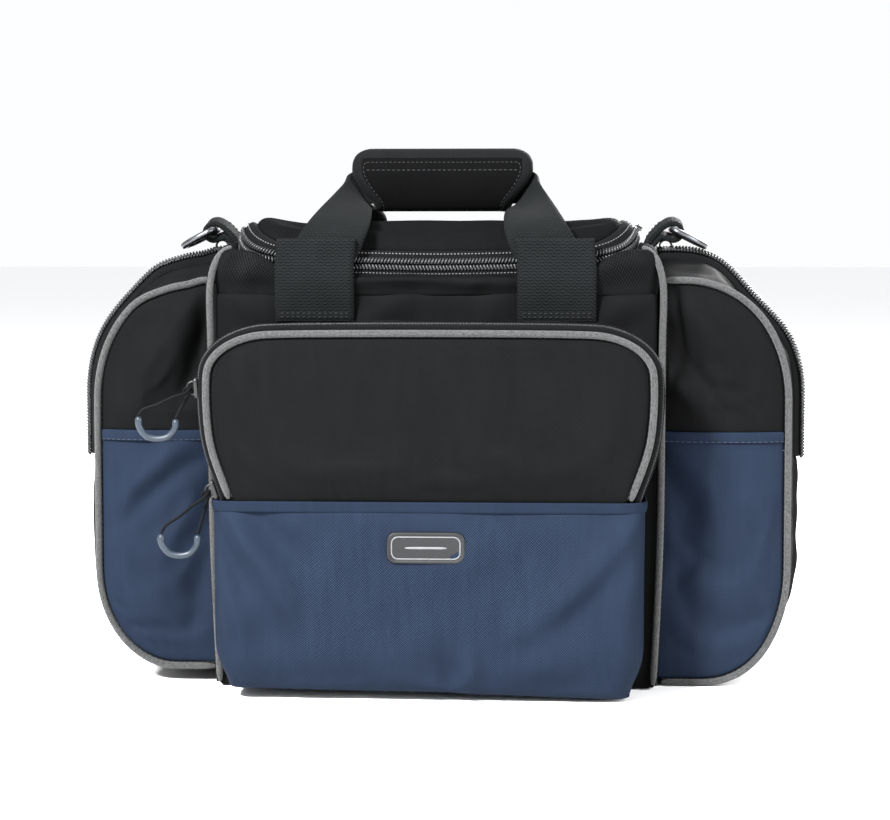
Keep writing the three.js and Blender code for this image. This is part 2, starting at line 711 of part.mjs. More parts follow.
mainCompartment();
frontPiping();
lidAndZip();
frontPocket();
pocketSliders();
lidSlider();
endSliders();
handles();
for (const [name, side] of [['left', -1], ['right', 1]]) {
  ringAndTab(name, side);
  endPocket(name, side);
}

export default bag;
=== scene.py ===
import math

import bpy
import numpy as np
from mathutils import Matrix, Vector


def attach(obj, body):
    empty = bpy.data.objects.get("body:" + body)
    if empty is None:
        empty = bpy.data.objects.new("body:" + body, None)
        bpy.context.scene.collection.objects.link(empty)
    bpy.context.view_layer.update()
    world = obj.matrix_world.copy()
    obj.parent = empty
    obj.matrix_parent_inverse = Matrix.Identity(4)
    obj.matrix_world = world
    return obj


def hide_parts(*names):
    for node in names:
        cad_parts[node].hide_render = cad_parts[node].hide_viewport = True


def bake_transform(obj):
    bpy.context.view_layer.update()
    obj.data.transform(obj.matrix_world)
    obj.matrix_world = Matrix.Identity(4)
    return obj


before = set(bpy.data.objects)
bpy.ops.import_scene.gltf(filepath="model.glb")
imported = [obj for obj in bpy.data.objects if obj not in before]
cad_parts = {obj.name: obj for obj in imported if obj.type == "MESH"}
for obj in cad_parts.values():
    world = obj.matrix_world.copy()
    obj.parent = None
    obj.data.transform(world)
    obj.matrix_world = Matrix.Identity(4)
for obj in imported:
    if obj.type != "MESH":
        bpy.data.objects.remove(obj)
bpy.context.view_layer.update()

# Lengths are in millimetres up to the moment a mesh is made, and metres in Blender.
MM = 0.001

# ---- camera ---------------------------------------------------------------
AZIMUTH, ELEVATION, DISTANCE, LENS = math.radians(3.07), math.radians(4.0), 1.585, 95.03
TARGET = Vector((0.0014, 0.0, 0.1733))
away = Vector((
    math.sin(AZIMUTH) * math.cos(ELEVATION),
    -math.cos(AZIMUTH) * math.cos(ELEVATION),
    math.sin(ELEVATION),
))
camera_data = bpy.data.cameras.new("camera")
camera_data.lens = LENS
camera_data.sensor_width = 36
camera = bpy.data.objects.new("camera", camera_data)
camera.location = TARGET + DISTANCE * away
camera.rotation_euler = (-away).to_track_quat("-Z", "Y").to_euler()
bpy.context.scene.collection.objects.link(camera)
bpy.context.scene.camera = camera


# ---- curves and grids -----------------------------------------------------
def smooth(t):
    t = np.clip(t, 0, 1)
    return t * t * (3 - 2 * t)


def lerp(a, b, t):
    return a + (b - a) * t


def unit(v):
    v = np.asarray(v, float)
    return v / np.maximum(np.linalg.norm(v, axis=-1, keepdims=True), 1e-12)


def catmull(points, per=10):
    """A centripetal Catmull-Rom curve through the points."""
    p = np.asarray(points, float)
    p = np.vstack([2 * p[0] - p[1], p, 2 * p[-1] - p[-2]])
    made = []
    for i in range(1, len(p) - 2):
        knots = [0.0]
        for a, b in zip(p[i - 1:i + 2], p[i:i + 3]):
            knots.append(knots[-1] + max(np.linalg.norm(b - a), 1e-9) ** 0.5)
        t0, t1, t2, t3 = knots
        for t in np.linspace(t1, t2, per, endpoint=False):
            a1 = lerp(p[i - 1], p[i], (t - t0) / (t1 - t0))
            a2 = lerp(p[i], p[i + 1], (t - t1) / (t2 - t1))
            a3 = lerp(p[i + 1], p[i + 2], (t - t2) / (t3 - t2))
            b1 = lerp(a1, a2, (t - t0) / (t2 - t0))
            b2 = lerp(a2, a3, (t - t1) / (t3 - t1))
            made.append(lerp(b1, b2, (t - t1) / (t2 - t1)))
    made.append(p[-2])
    return np.array(made)


def distances(path):
    """How far along a path each of its points lies."""
    return np.concatenate([[0], np.cumsum(np.linalg.norm(np.diff(path, axis=0), axis=1))])


def resample(path, step=None, count=None):
    path = np.asarray(path, float)
    far = distances(path)
    count = count or max(2, int(round(far[-1] / step)) + 1)
    at = np.linspace(0, far[-1], count)
    return np.stack([np.interp(at, far, path[:, k]) for k in range(path.shape[1])], 1)


def tangents(path):
    return unit(np.gradient(np.asarray(path, float), axis=0))


def axes(path, up):
    """Unit vectors along a path, out from it, and near to up."""
    t = tangents(path)
    n = unit(np.cross(t, np.broadcast_to(np.asarray(up, float), t.shape)))
    return t, n, np.cross(n, t)


def ridge(x, z, points, width, height):
    """The height of a soft fold along a line, which fades at both of its ends."""
    made = np.zeros_like(x, float)
    line = resample(points, count=24)
    for k, (px, pz) in enumerate(line):
        fade = math.sin(math.pi * (k + 0.5) / len(line)) ** 0.6
        d2 = (x - px) ** 2 + (z - pz) ** 2
        made = np.maximum(made, fade * np.exp(-d2 / (2 * width ** 2)))
    return height * made


def folds(x, z, lines, made=0.0, share=1.0):
    """Soft folds added to a surface: each is its height, its width and the points of its line."""
    for height, width, *points in lines:
        made = made + ridge(x, z, points, width, height) * share
    return made


def ripple(x, z, seed, scale, height):
    """A smooth uneven surface, the same on every run."""
    draw = np.random.default_rng(seed)
    made = np.zeros_like(x, float)
    for k in range(7):
        a = draw.uniform(0, 2 * math.pi)
        f = draw.uniform(0.6, 1.7) / scale
        made += np.sin((x * math.cos(a) + z * math.sin(a)) * f * 2 * math.pi
                       + draw.uniform(0, 6.3)) / (1 + k * 0.35)
    return height * made / 3.2


# ---- materials ------------------------------------------------------------
class Nodes:
    """A short way to write a material's nodes."""

    def __init__(self, name):
        self.material = bpy.data.materials.new(name)
        self.material.use_nodes = True
        self.tree = self.material.node_tree
        self.shader = self.tree.nodes["Principled BSDF"]

    def add(self, kind, **values):
        node = self.tree.nodes.new(kind)
        for key, value in values.items():
            setattr(node, key, value)
        return node

    def link(self, a, b):
        self.tree.links.new(a, b)

    def put(self, socket, value):
        if isinstance(value, bpy.types.NodeSocket):
            self.link(value, socket)
        else:
            socket.default_value = value

    def math(self, operation, a, b=0.0, c=0.0):
        node = self.add("ShaderNodeMath", operation=operation)
        for socket, value in zip(node.inputs, (a, b, c)):
            self.put(socket, value)
        return node.outputs[0]

    def mul(self, a, b, plus=0.0):
        return self.math("MULTIPLY_ADD", a, b, plus)

    def mix(self, share, a, b):
        node = self.add("ShaderNodeMix", data_type="RGBA")
        self.put(node.inputs[0], share)
        self.put(node.inputs[6], a if isinstance(a, bpy.types.NodeSocket) else (*a, 1))
        self.put(node.inputs[7], b if isinstance(b, bpy.types.NodeSocket) else (*b, 1))
        return node.outputs[2]

    def noise(self, scale, detail=3.0, stretch=(1, 1, 1), where="Object"):
        place = self.add("ShaderNodeTexCoord")
        mapping = self.add("ShaderNodeMapping")
        mapping.inputs["Scale"].default_value = stretch
        self.link(place.outputs[where], mapping.inputs["Vector"])
        node = self.add("ShaderNodeTexNoise")
        node.inputs["Scale"].default_value = scale
        node.inputs["Detail"].default_value = detail
        self.link(mapping.outputs[0], node.inputs["Vector"])
        return node.outputs[0]

    def uv(self):
        place = self.add("ShaderNodeTexCoord")
        split = self.add("ShaderNodeSeparateXYZ")
        self.link(place.outputs["UV"], split.inputs[0])
        return split.outputs[0], split.outputs[1]

    def wave(self, value, period):
        """A sine from 0 to 1 of a length in millimetres."""
        return self.mul(self.math("SINE", self.mul(value, 2 * math.pi / period)), 0.5, 0.5)

    def bump(self, height, depth, strength):
        node = self.add("ShaderNodeBump")
        node.inputs["Strength"].default_value = strength
        node.inputs["Distance"].default_value = depth
        self.link(height, node.inputs["Height"])
        return node.outputs[0]

    def set(self, **values):
        for key, value in values.items():
            self.put(self.shader.inputs[key.replace("_", " ")], value)
        return self.material


def woven(name, light, dark, period=1.6, depth=0.0002, rough=(0.50, 0.78), sheen=0.0):
    """Coarse woven nylon: a basket of threads crossed by a faint diagonal, with worn highs."""
    n = Nodes(name)
    u, v = n.uv()
    across = n.mul(n.wave(u, period), 2.0, -1.0)
    along = n.mul(n.wave(v, period * 1.08), 2.0, -1.0)
    basket = n.mul(n.mul(across, along), 0.5, 0.5)
    diagonal = n.wave(n.math("ADD", u, v), period * 2.0)
    weave = n.mul(diagonal, 0.07, n.mul(basket, 0.93))
    fine = n.noise(2600, 2)
    broad = n.noise(14, 3)
    slub = n.noise(240, 2, (1, 1, 0.12))
    tone = n.mul(fine, 0.15, n.mul(n.math("POWER", weave, 2.8), 1.6))
    tone = n.mul(slub, 0.25, n.math("SUBTRACT", tone, 0.12))
    colour = n.mix(tone, dark, light)
    worn = n.mul(n.math("SUBTRACT", broad, 0.45), 0.12)
    colour = n.mix(n.math("MAXIMUM", worn, 0.0), colour, tuple(min(1, c * 1.5) for c in light))
    roughness = n.mul(n.math("SUBTRACT", 1.0, weave), rough[1] - rough[0], rough[0])
    height = n.mul(fine, 0.18, weave)
    return n.set(
        Base_Color=colour, Roughness=roughness, Sheen_Weight=sheen, Sheen_Roughness=0.45,
        Specular_IOR_Level=0.008, Normal=n.bump(height, depth, 0.8),
    )


def ribbed(name, light, dark, period, side=2.6, depth=0.0003, twilled=0.4):
    """Narrow woven goods: ribs across the run, and ends that cross them in a herringbone."""
    n = Nodes(name)
    u, v = n.uv()
    rib = n.wave(v, period)
    zig = n.math("PINGPONG", u, side)
    twill = n.wave(n.math("ADD", v, zig), period * 1.35)
    fine = n.noise(1900, 2)
    weave = n.mul(twill, twilled, n.mul(rib, 1 - twilled))
    tone = n.mul(fine, 0.3, n.mul(weave, 0.7))
    worn = n.noise(60, 3)
    tone = n.mul(worn, 0.3, n.math("SUBTRACT", tone, 0.15))
    return n.set(
        Base_Color=n.mix(tone, dark, light), Sheen_Weight=0.01, Sheen_Roughness=0.5,
        Roughness=n.mul(fine, 0.2, 0.6), Specular_IOR_Level=0.014,
        Normal=n.bump(n.mul(fine, 0.2, weave), depth, 0.8),
    )


def heather(name, light, dark):
    """Felted piping of light and dark fibres, with a bias twist."""
    n = Nodes(name)
    u, v = n.uv()
    fibre = n.noise(1.0, 3, (2.2, 0.5, 1), "UV")
    fleck = n.noise(900, 4)
    twist = n.wave(n.math("ADD", u, v), 1.6)
    tone = n.mul(fibre, 1.9, n.mul(fleck, 1.3))
    tone = n.mul(twist, 0.18, n.math("SUBTRACT", tone, 1.15))
    height = n.mul(fleck, 0.8, n.mul(twist, 0.5))
    return n.set(
        Base_Color=n.mix(tone, dark, light), Roughness=n.mul(fleck, 0.2, 0.75),
        Sheen_Weight=0.1, Sheen_Roughness=0.6, Specular_IOR_Level=0.03,
        Normal=n.bump(height, 0.00035, 0.8),
    )


def moulded(name, light, dark, rough, grain=1500, metal=0.0, gloss=0.22):
    """Moulded plastic, rubber or plated metal, with fine grain and handling wear."""
    n = Nodes(name)
    fine = n.noise(grain, 3)
    wear = n.noise(110, 5)
    tone = n.mul(fine, 0.25, n.mul(wear, 0.75))
    return n.set(
        Base_Color=n.mix(tone, dark, light), Metallic=metal, Specular_IOR_Level=gloss,
        Roughness=n.mul(wear, 0.25, rough - 0.1),
        Normal=n.bump(n.mul(wear, 0.6, fine), 0.00004, 0.6),
    )


def thread(name, light, dark):
    n = Nodes(name)
    u, v = n.uv()
    ply = n.wave(n.math("ADD", u, v), 0.5)
    fuzz = n.noise(3000, 2)
    tone = n.mul(fuzz, 0.4, n.mul(ply, 0.6))
    return n.set(Base_Color=n.mix(tone, dark, light), Roughness=n.mul(fuzz, 0.2, 0.45),
                 Specular_IOR_Level=0.2, Normal=n.bump(ply, 0.0001, 0.6))


BLACK = woven("black_nylon", (0.0064, 0.0067, 0.0070), (0.0001, 0.0001, 0.0001), 1.8)
NAVY = woven("navy_nylon", (0.0124, 0.0182, 0.0318), (0.0016, 0.0028, 0.0058), 1.5)
WEB = ribbed("black_webbing", (0.00619, 0.00713, 0.00749), (0.000288, 0.00036, 0.000432), 1.9,
             depth=0.00025, twilled=0.5)
TAPE = ribbed("zip_tape", (0.00389, 0.0041, 0.00432), (0.000432, 0.000432, 0.000518), 0.9, 1.6, 0.00018)
BINDING = ribbed("binding", (0.00518, 0.00562, 0.00583), (0.000648, 0.000691, 0.000778), 0.8, 1.2, 0.00015)
GREY = heather("grey_piping", (0.0435, 0.0440, 0.0450), (0.00216, 0.00223, 0.00234))
PAD = woven("grip_cloth", (0.00216, 0.00225, 0.00238), (0.000346, 0.000346, 0.000389), 0.95, 0.0001,
            (0.5, 0.66), 0.02)
COIL = moulded("zip_coil", (0.0158, 0.0166, 0.018), (0.00288, 0.00302, 0.00324), 0.32)
METAL = moulded("gunmetal", (0.111, 0.115, 0.124), (0.0256, 0.0274, 0.0308), 0.33, 800, 1.0, gloss=0.5)
PLASTIC = moulded("slate_plastic", (0.0121, 0.0181, 0.0262), (0.00605, 0.00958, 0.0146), 0.38, 1200)
YARN = ribbed("cord_yarn", (0.00504, 0.00554, 0.00605), (0.000756, 0.000756, 0.00101), 0.9, 0.8, 0.0002)
RUBBER = moulded("badge_rubber", (0.00515, 0.00562, 0.00655), (0.00187, 0.00211, 0.00257), 0.48, 1300)
RAISED = moulded("badge_rim", (0.0924, 0.0945, 0.0987), (0.0546, 0.0567, 0.0588), 0.45, 1300)
BLACK_THREAD = thread("black_thread", (0.0121, 0.0126, 0.0136), (0.00202, 0.00227, 0.00252))
# the zip's stitching thread is coloured light grey: a painted highlight of the stitches catching the light
ZIP_THREAD_PAINTED_HIGHLIGHT = thread("zip_thread_painted_highlight", (0.0936, 0.096, 0.0983), (0.0234, 0.0243, 0.0257))
NAVY_THREAD = thread("navy_thread", (0.0216, 0.0268, 0.0432), (0.00346, 0.00518, 0.0104))
LID_CLOTH = woven("lid_nylon", (0.0041, 0.00441, 0.00462), (0.000518, 0.000562, 0.000605), 1.25, 0.00012)
ENAMEL = moulded("black_enamel", (0.00576, 0.00605, 0.00648), (0.00173, 0.00187, 0.00202), 0.34, 900,
                 gloss=0.28)
BOARD = woven("board_cloth", (0.0202, 0.0213, 0.023), (0.00691, 0.00749, 0.00806), 1.2)


# ---- making pieces --------------------------------------------------------
SIMULATED_FRAMES = 18
finishing = []  # what is done to each piece once the cloth has been simulated
cloths = []  # the grids that are simulated, with how each one hangs

# how a cloth hangs: pressure, growth, share of gravity, and the cap on its movement in mm
FLAP_DRAPE = (0.5, 0.012, 0.25, 3.0)
POCKET_DRAPE = (0.35, 0.02, 0.35, 4.0)
WALL_DRAPE = (0.3, 0.012, 0.2, 2.5)
LID_DRAPE = (0.25, 0.015, 0.5, 3.0)
FACE_DRAPE = (0.4, 0.016, 0.3, 3.5)
REAR_DRAPE = (0.35, 0.012, 0.2, 3.0)

# how thick the sewn cloths are
LINED, FACED, WALLED = 1.6, 1.8, 2.2


def build(name, points, faces, look, uv=None, out=None):
    """A mesh from points in millimetres; out is a point that its faces turn away from."""
    points = np.asarray(points, float)
    mesh = bpy.data.meshes.new(name)
    mesh.from_pydata((points * MM).tolist(), [], [list(map(int, f)) for f in faces])
    if out is not None:
        total = 0.0
        inner = np.asarray(out, float)
        for f in faces[:: max(1, len(faces) // 400)]:
            a, b, c = points[list(f[:3])]
            total += np.dot(np.cross(b - a, c - a), a - inner)
        if total < 0:
            mesh.flip_normals()
    layer = mesh.uv_layers.new(name="UVMap")
    if uv is None:
        uv = points[:, [0, 2]]
    index = np.zeros(len(mesh.loops), int)
    mesh.loops.foreach_get("vertex_index", index)
    layer.data.foreach_set("uv", np.asarray(uv, np.float32)[index].ravel())
    mesh.polygons.foreach_set("use_smooth", [True] * len(mesh.polygons))
    mesh.materials.append(look)
    piece = bpy.data.objects.new(name, mesh)
    bpy.context.scene.collection.objects.link(piece)
    return piece


def place(piece, body, nodes=(), slot=None, blend=None):
    """Says what a piece moves with and stands for; blend is (other body, start, end) in mm, and these are
    not used: a piece given one is only baked where it stands.
    """
    if nodes:
        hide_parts(*nodes)
    if blend:
        finishing.append(lambda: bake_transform(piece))
    else:
        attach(piece, body)
    return piece


def thicken(piece, thick, levels):
    def work():
        if thick:
            m = piece.modifiers.new("thickness", "SOLIDIFY")
            m.thickness = thick * MM
            m.offset = -1
            m.use_even_offset = False
        if levels:
            m = piece.modifiers.new("smooth", "SUBSURF")
            m.levels = m.render_levels = levels
    finishing.append(work)


def grid_faces(rows, columns, closed=False):
    faces = []
    last = columns if closed else columns - 1
    for i in range(rows - 1):
        for j in range(last):
            k = (j + 1) % columns
            faces.append((i * columns + j, i * columns + k,
                          (i + 1) * columns + k, (i + 1) * columns + j))
    return faces


def caps(rows, columns):
    """The two faces that close a tube's ends."""
    return [tuple(range(columns))[::-1], tuple((rows - 1) * columns + k for k in range(columns))]


def lengths(points):
    """How far along its rows and columns each point of a grid lies."""
    u = np.linalg.norm(np.diff(points, axis=1), axis=2).mean(0)
    v = np.linalg.norm(np.diff(points, axis=0), axis=2).mean(1)
    u = np.concatenate([[0], np.cumsum(u)])
    v = np.concatenate([[0], np.cumsum(v)])
    return np.stack(np.meshgrid(u, v), -1)


def cloth(name, points, look, body, nodes=(), slot=None, out=(0, 0, 140), uv=None, thick=1.4,
          blend=None, closed=False, drape=None):
    """A lined sheet over a grid of points. drape is how each point is held and how the cloth hangs."""
    points = np.asarray(points, float)
    rows, columns, _ = points.shape
    if uv is None:
        uv = lengths(points)
    piece = build(name, points.reshape(-1, 3), grid_faces(rows, columns, closed), look,
                  np.asarray(uv).reshape(-1, 2), out)
    if drape:
        cloths.append((piece, drape[0].reshape(-1), *drape[1:]))
    thicken(piece, thick, 1)
    return place(piece, body, nodes, slot, blend)


def hold(rows, columns, soft=3):
    """How firmly each point of a grid is held: 1 along its sewn rims, 0 away from them."""
    i, j = np.meshgrid(np.arange(rows), np.arange(columns), indexing="ij")
    near = np.minimum(np.minimum(i, rows - 1 - i), np.minimum(j, columns - 1 - j))
    return np.clip(1 - (near - 1) / soft, 0, 1)


def simulate():
    """Swells and slackens every cloth at once, then keeps each shape."""
    if not cloths:
        return
    scene = bpy.context.scene
    for piece, held, pressure, grow, weight, cap in cloths:
        group = piece.vertex_groups.new(name="held")
        for k, w in enumerate(held):
            group.add([k], float(w), "REPLACE")
        m = piece.modifiers.new("cloth", "CLOTH")
        s = m.settings
        s.quality = 6
        s.mass = 0.25
        s.tension_stiffness = s.compression_stiffness = 18
        s.shear_stiffness = 8
        s.bending_stiffness = 0.6
        s.tension_damping = s.compression_damping = s.shear_damping = 12
        s.air_damping = 3
        s.vertex_group_mass = "held"
        s.use_pressure = True
        s.uniform_pressure_force = pressure
        s.shrink_min = -grow
        s.effector_weights.gravity = weight
        m.collision_settings.use_collision = False
    for step in range(SIMULATED_FRAMES):
        scene.frame_set(step + 1)
    view = bpy.context.evaluated_depsgraph_get()
    for piece, held, pressure, grow, weight, cap in cloths:
        made = piece.evaluated_get(view).data
        count = len(piece.data.vertices)
        now, rest = np.zeros(count * 3), np.zeros(count * 3)
        made.vertices.foreach_get("co", now)
        piece.data.vertices.foreach_get("co", rest)
        move = (now - rest).reshape(-1, 3)
        far = np.linalg.norm(move, axis=1, keepdims=True)
        limit = cap * MM
        move *= np.where(far > 1e-9, limit * np.tanh(far / limit) / np.maximum(far, 1e-9), 1)
        piece.modifiers.remove(piece.modifiers["cloth"])
        piece.data.vertices.foreach_set("co", rest + move.ravel())
        piece.data.update()
    scene.frame_set(1)


def sweep(name, path, profile, look, body, nodes=(), slot=None, up=(0, 1, 0), closed=True, thick=0,
          levels=0, loop=False, scale=None):
    """A profile carried along a path. Its first axis points out from the path, its second along up."""
    path = np.asarray(path, float)
    _, n, b = axes(path, up)
    profile = np.asarray(profile, float)
    size = np.ones(len(path)) if scale is None else np.asarray(scale)
    ring = (path[:, None] + size[:, None, None] * (profile[None, :, :1] * n[:, None]
                                                   + profile[None, :, 1:] * b[:, None]))
    rows, columns, _ = ring.shape
    uv = np.stack(np.meshgrid(distances(profile), distances(path)), -1).reshape(-1, 2)
    faces = grid_faces(rows, columns, closed)
    if loop:
        faces += [((rows - 1) * columns + j, (rows - 1) * columns + (j + 1) % columns,
                   (j + 1) % columns, j) for j in range(columns)]
    elif closed:
        faces += caps(rows, columns)
    piece = build(name, ring.reshape(-1, 3), faces, look, uv)
    if closed:
        settle(piece)
    thicken(piece, thick, levels)
    return place(piece, body, nodes, slot)


def settle(piece):
    """Turns a closed mesh's faces outwards."""
    mesh = piece.data
    co = np.array([v.co for v in mesh.vertices])
    volume = 0.0
    for p in mesh.polygons:
        v = p.vertices
        for k in range(1, len(v) - 1):
            volume += np.dot(co[v[0]], np.cross(co[v[k]], co[v[k + 1]]))
    if volume < 0:
        mesh.flip_normals()


def solid(name, points, faces, look, uv=None):
    piece = build(name, points.reshape(-1, 3), faces, look, uv)
    settle(piece)
    return piece


def circle(diameter, sides=12, flat=1.0):
    turn = np.arange(sides) * 2 * math.pi / sides
    return np.stack([diameter / 2 * np.cos(turn), diameter / 2 * flat * np.sin(turn)], 1)


def rounded_ends(count, reach=3):
    """Scales that close a tube off softly at both ends."""
    made = np.ones(count)
    for k in range(reach):
        value = math.sqrt(1 - (1 - (k + 0.35) / reach) ** 2)
        made[k] = made[-1 - k] = value
    return made


def pills(name, centres, along, across, up, size, look, body, slot):
    """Many small rounded blocks in one mesh: size is length, width and height."""
    turn = np.arange(8) * math.pi / 4
    ring = np.stack([np.cos(turn), np.sin(turn)], 1)
    local = []
    for x, s in ((-0.5, 0.0), (-0.46, 0.55), (-0.34, 0.95), (0.34, 0.95), (0.46, 0.55), (0.5, 0.0)):
        if s:
            local += [(x * size[0], s * c * size[1] / 2, s * d * size[2] / 2) for c, d in ring]
        else:
            local.append((x * size[0], 0, 0))
    local = np.array(local)
    shape = [(0, 1 + (k + 1) % 8, 1 + k) for k in range(8)]
    for r in range(3):
        a, b = 1 + 8 * r, 9 + 8 * r
        shape += [(a + k, a + (k + 1) % 8, b + (k + 1) % 8, b + k) for k in range(8)]
    last = len(local) - 1
    shape += [(25 + k, 25 + (k + 1) % 8, last) for k in range(8)]
    centres, along, across, up = (np.asarray(a, float) for a in (centres, along, across, up))
    points = (centres[:, None] + local[None, :, :1] * along[:, None]
              + local[None, :, 1:2] * across[:, None] + local[None, :, 2:] * up[:, None])
    count = len(local)
    faces = [tuple(i * count + v for v in f) for i in range(len(centres)) for f in shape]
    uv = np.tile(local[:, :2], (len(centres), 1)) + np.repeat(centres[:, [0, 2]], count, axis=0)
    return place(solid(name, points, faces, look, uv), body, (), slot)


def stitches(name, path, up, look, body, length=2.5, gap=1.3, thick=0.62, slot=None):
    """A row of stitches along a path; up is the direction that they stand out in."""
    line = resample(path, step=length + gap)
    line = (line[1:] + line[:-1]) / 2
    t = tangents(line)
    u = np.broadcast_to(np.asarray(up, float), t.shape)
    side = unit(np.cross(u, t))
    return pills(name, line, t, side, np.cross(t, side), (length, thick, thick * 0.8), look, body,
                 slot)


def coil(name, path, across, body, pitch, width, thick, lean=0.28, lift=0.0, shift=0.0, away=None):
    """One half of a zip's coil: slanting teeth that reach out from the chain's middle line.

    They are lifted off the chain by lift, towards the side that away points to."""
    line = resample(path, step=pitch)
    if shift:
        line = line[:-1] + (line[1:] - line[:-1]) * shift
    t = tangents(line)
    reach = np.asarray(across, float)
    reach = np.broadcast_to(reach, t.shape) if reach.ndim == 1 else resample(reach, count=len(line))
    reach = unit(reach - (reach * t).sum(1, keepdims=True) * t)
    up = np.cross(t, reach)
    if away is not None and (up * resample(away, count=len(up))).sum() < 0:
        lift = -lift
    centre = line + reach * (width / 2 + 0.05) + up * lift
    axis = unit(reach + lean * t)
    return pills(name, centre, axis, unit(np.cross(up, axis)), up, (width, pitch * 0.82, thick),
                 COIL, body, "zip")


# ---- the bag's own shapes -------------------------------------------------
SIDES = (("left", -1), ("right", 1))


def turn_arc(cx, cz, rx, rz, start, stop, count):
    a = np.radians(np.linspace(start, stop, count + 1))
    return [(cx + rx * math.cos(t), cz + rz * math.sin(t)) for t in a]


def arch(offset, low=124.3):
    """The front pocket's arch in X and Z, from the left hem over the top to the right hem."""
    right = turn_arc(98.5, 203, 41 + offset, 26 + offset, 90, 0, 6)
    right += [(137.5 + offset, 163), (125.5 + offset, low)]
    left = [(-x, z) for x, z in right][::-1]
    line = catmull([(x, 0, z) for x, z in left + right], 8)
    # the right shoulder is a little narrower than the left one
    line[:, 0] -= 2.6 * smooth((line[:, 0] - 40) / 85)
    return line


def at_y(line, y):
    made = np.array(line, float)
    made[:, 1] = y
    return made


def coons(bottom, top, left, right, rows, columns):
    """A grid that fills four curves: left and right run from the bottom curve to the top one."""
    b, t = resample(bottom, count=columns), resample(top, count=columns)
    l, r = resample(left, count=rows), resample(right, count=rows)
    u = np.linspace(0, 1, columns)[None, :, None]
    v = np.linspace(0, 1, rows)[:, None, None]
    ruled = (1 - v) * b[None] + v * t[None] + (1 - u) * l[:, None] + u * r[:, None]
    return ruled - ((1 - u) * (1 - v) * b[0] + u * (1 - v) * b[-1]
                    + (1 - u) * v * t[0] + u * v * t[-1])


def pillow(rows, columns, power=2.2):
    """A height of 1 in a grid's middle that falls to 0 at its rims."""
    u = np.abs(np.linspace(-1, 1, columns))[None, :]
    v = np.abs(np.linspace(-1, 1, rows))[:, None]
    return (1 - u ** power) * (1 - v ** power)


def flat_uv(points):
    return points[..., [0, 2]].copy()


# ---- front pocket ---------------------------------------------------------
FLAP_Y, CHAIN_Y = -133.0, -127.0
PIPING = 4.5
POCKET_COIL = (1.75, 2.7, 1.7)  # pitch, width and thickness of its teeth


def front_flap():
    edge = arch(-2.2)
    n = len(edge)
    a, b = int(n * 0.30), int(n * 0.70)
    left, top, right = edge[:a + 1], edge[a:b + 1], edge[b:][::-1]
    bottom = np.array([edge[0], edge[-1]])
    rows, columns = 36, 66
    p = coons(bottom, top, left, right, rows, columns)
    uv = flat_uv(p)
    x, z = p[..., 0], p[..., 2]
    out = 5.5 * pillow(rows, columns, 2.6)
    out = folds(x, z, (
        (1.2, 9, (-120, 205), (-85, 196), (-40, 200)),
        (1.4, 10, (122, 160), (95, 190), (60, 206)),
        (1.0, 7, (-100, 136), (-20, 131), (70, 137)),
    ), out)
    out += ripple(x, z, 3, 90, 0.7) * pillow(rows, columns, 4)
    p[..., 1] = FLAP_Y - 1.2 - out
    cloth("flap_cloth", p, BLACK, "pocket_flap", ["flap_panel"], "cloth_black", uv=uv, thick=FACED,
          drape=(hold(rows, columns), *FLAP_DRAPE))


def bead(path, name, body, node, side=-1):
    """Piping: a felted bead, the flange it is sewn in by, and the row of stitches beside it."""
    line = resample(path, step=3.2)
    reach = 2.7
    sweep(name, line, circle(PIPING, 12), GREY, body, [node], "piping",
          scale=rounded_ends(len(line)), levels=1)
    flange = [(side * a, b) for a, b in ((1.2, 0.9), (reach, 0.9), (reach, 1.5), (1.2, 1.9))]
    sweep(name + "_flange", line, flange, BINDING, body, slot="piping")
    _, n, b = axes(line, (0, 1, 0))
    stitches(name + "_stitches", line + n * side * (reach - 0.5) + b * 0.7, (0, -1, 0),
             BLACK_THREAD, body, slot="piping")


def pocket_zip():
    line = at_y(arch(5.7), CHAIN_Y)
    # tapes on both sides of the chain, each folded under the cloth beside it
    sweep("flap_zip_tape", line, [(-0.4, 0), (-0.3, -4.2), (-1.6, -5.9), (-4.4, -6.4)], TAPE,
          "pocket_flap", ["flap_zip"], "zip", closed=False, thick=0.7)
    sweep("pocket_zip_tape", line, [(-1.2, 0), (-1.2, 4.4), (-0.4, 6.4)], TAPE, "bag",
          ["pocket_zip_outer"], "zip", closed=False, thick=0.7)
    coil("flap_zip_coil", line, (0, -1, 0), "pocket_flap", *POCKET_COIL)
    coil("pocket_zip_coil", line, (0, 1, 0), "bag", *POCKET_COIL, shift=0.5)


def pocket_gusset():
    path = resample(arch(0), count=120)
    _, n, _ = axes(path, (0, 1, 0))
    # from the seam at the bag's front forward to the welt beside the zip
    stations = [(-86, -1.5), (-90, -1.4), (-95, 0.2), (-101, 3.2), (-107, 5.2), (-112, 6.0),
                (-116, 6.6), (-119.5, 7.4), (-121.8, 7.0), (-122.6, 5.4), (-121.5, 4.2)]
    rows = []
    for y, swell in stations:
        row = path + n * swell
        row[:, 1] = y
        rows.append(row)
    p = np.array(rows)
    far = np.linspace(0, 1, 120)[None, :]
    deep = np.linspace(0, 1, len(stations))[:, None]
    sag = np.sin(far * 61) * 0.45 + np.sin(far * 27 + 2) * 0.6
    p += (sag * np.sin(deep * math.pi))[..., None] * n[None]
    cloth("pocket_gusset_cloth", p, BLACK, "bag", ["pocket_gusset"], "cloth_black",
          out=(0, -105, 120), thick=1.4)


def pocket_floor_height(x):
    """The pocket's sagging lower edge: lowest at its right end, with a pucker near the middle."""
    high = lerp(6.5, 5.2, smooth((x + 130) / 120))
    return lerp(high, 1.6, smooth((x - 2) / 34) * 0.45 + smooth((x - 30) / 90) * 0.55)


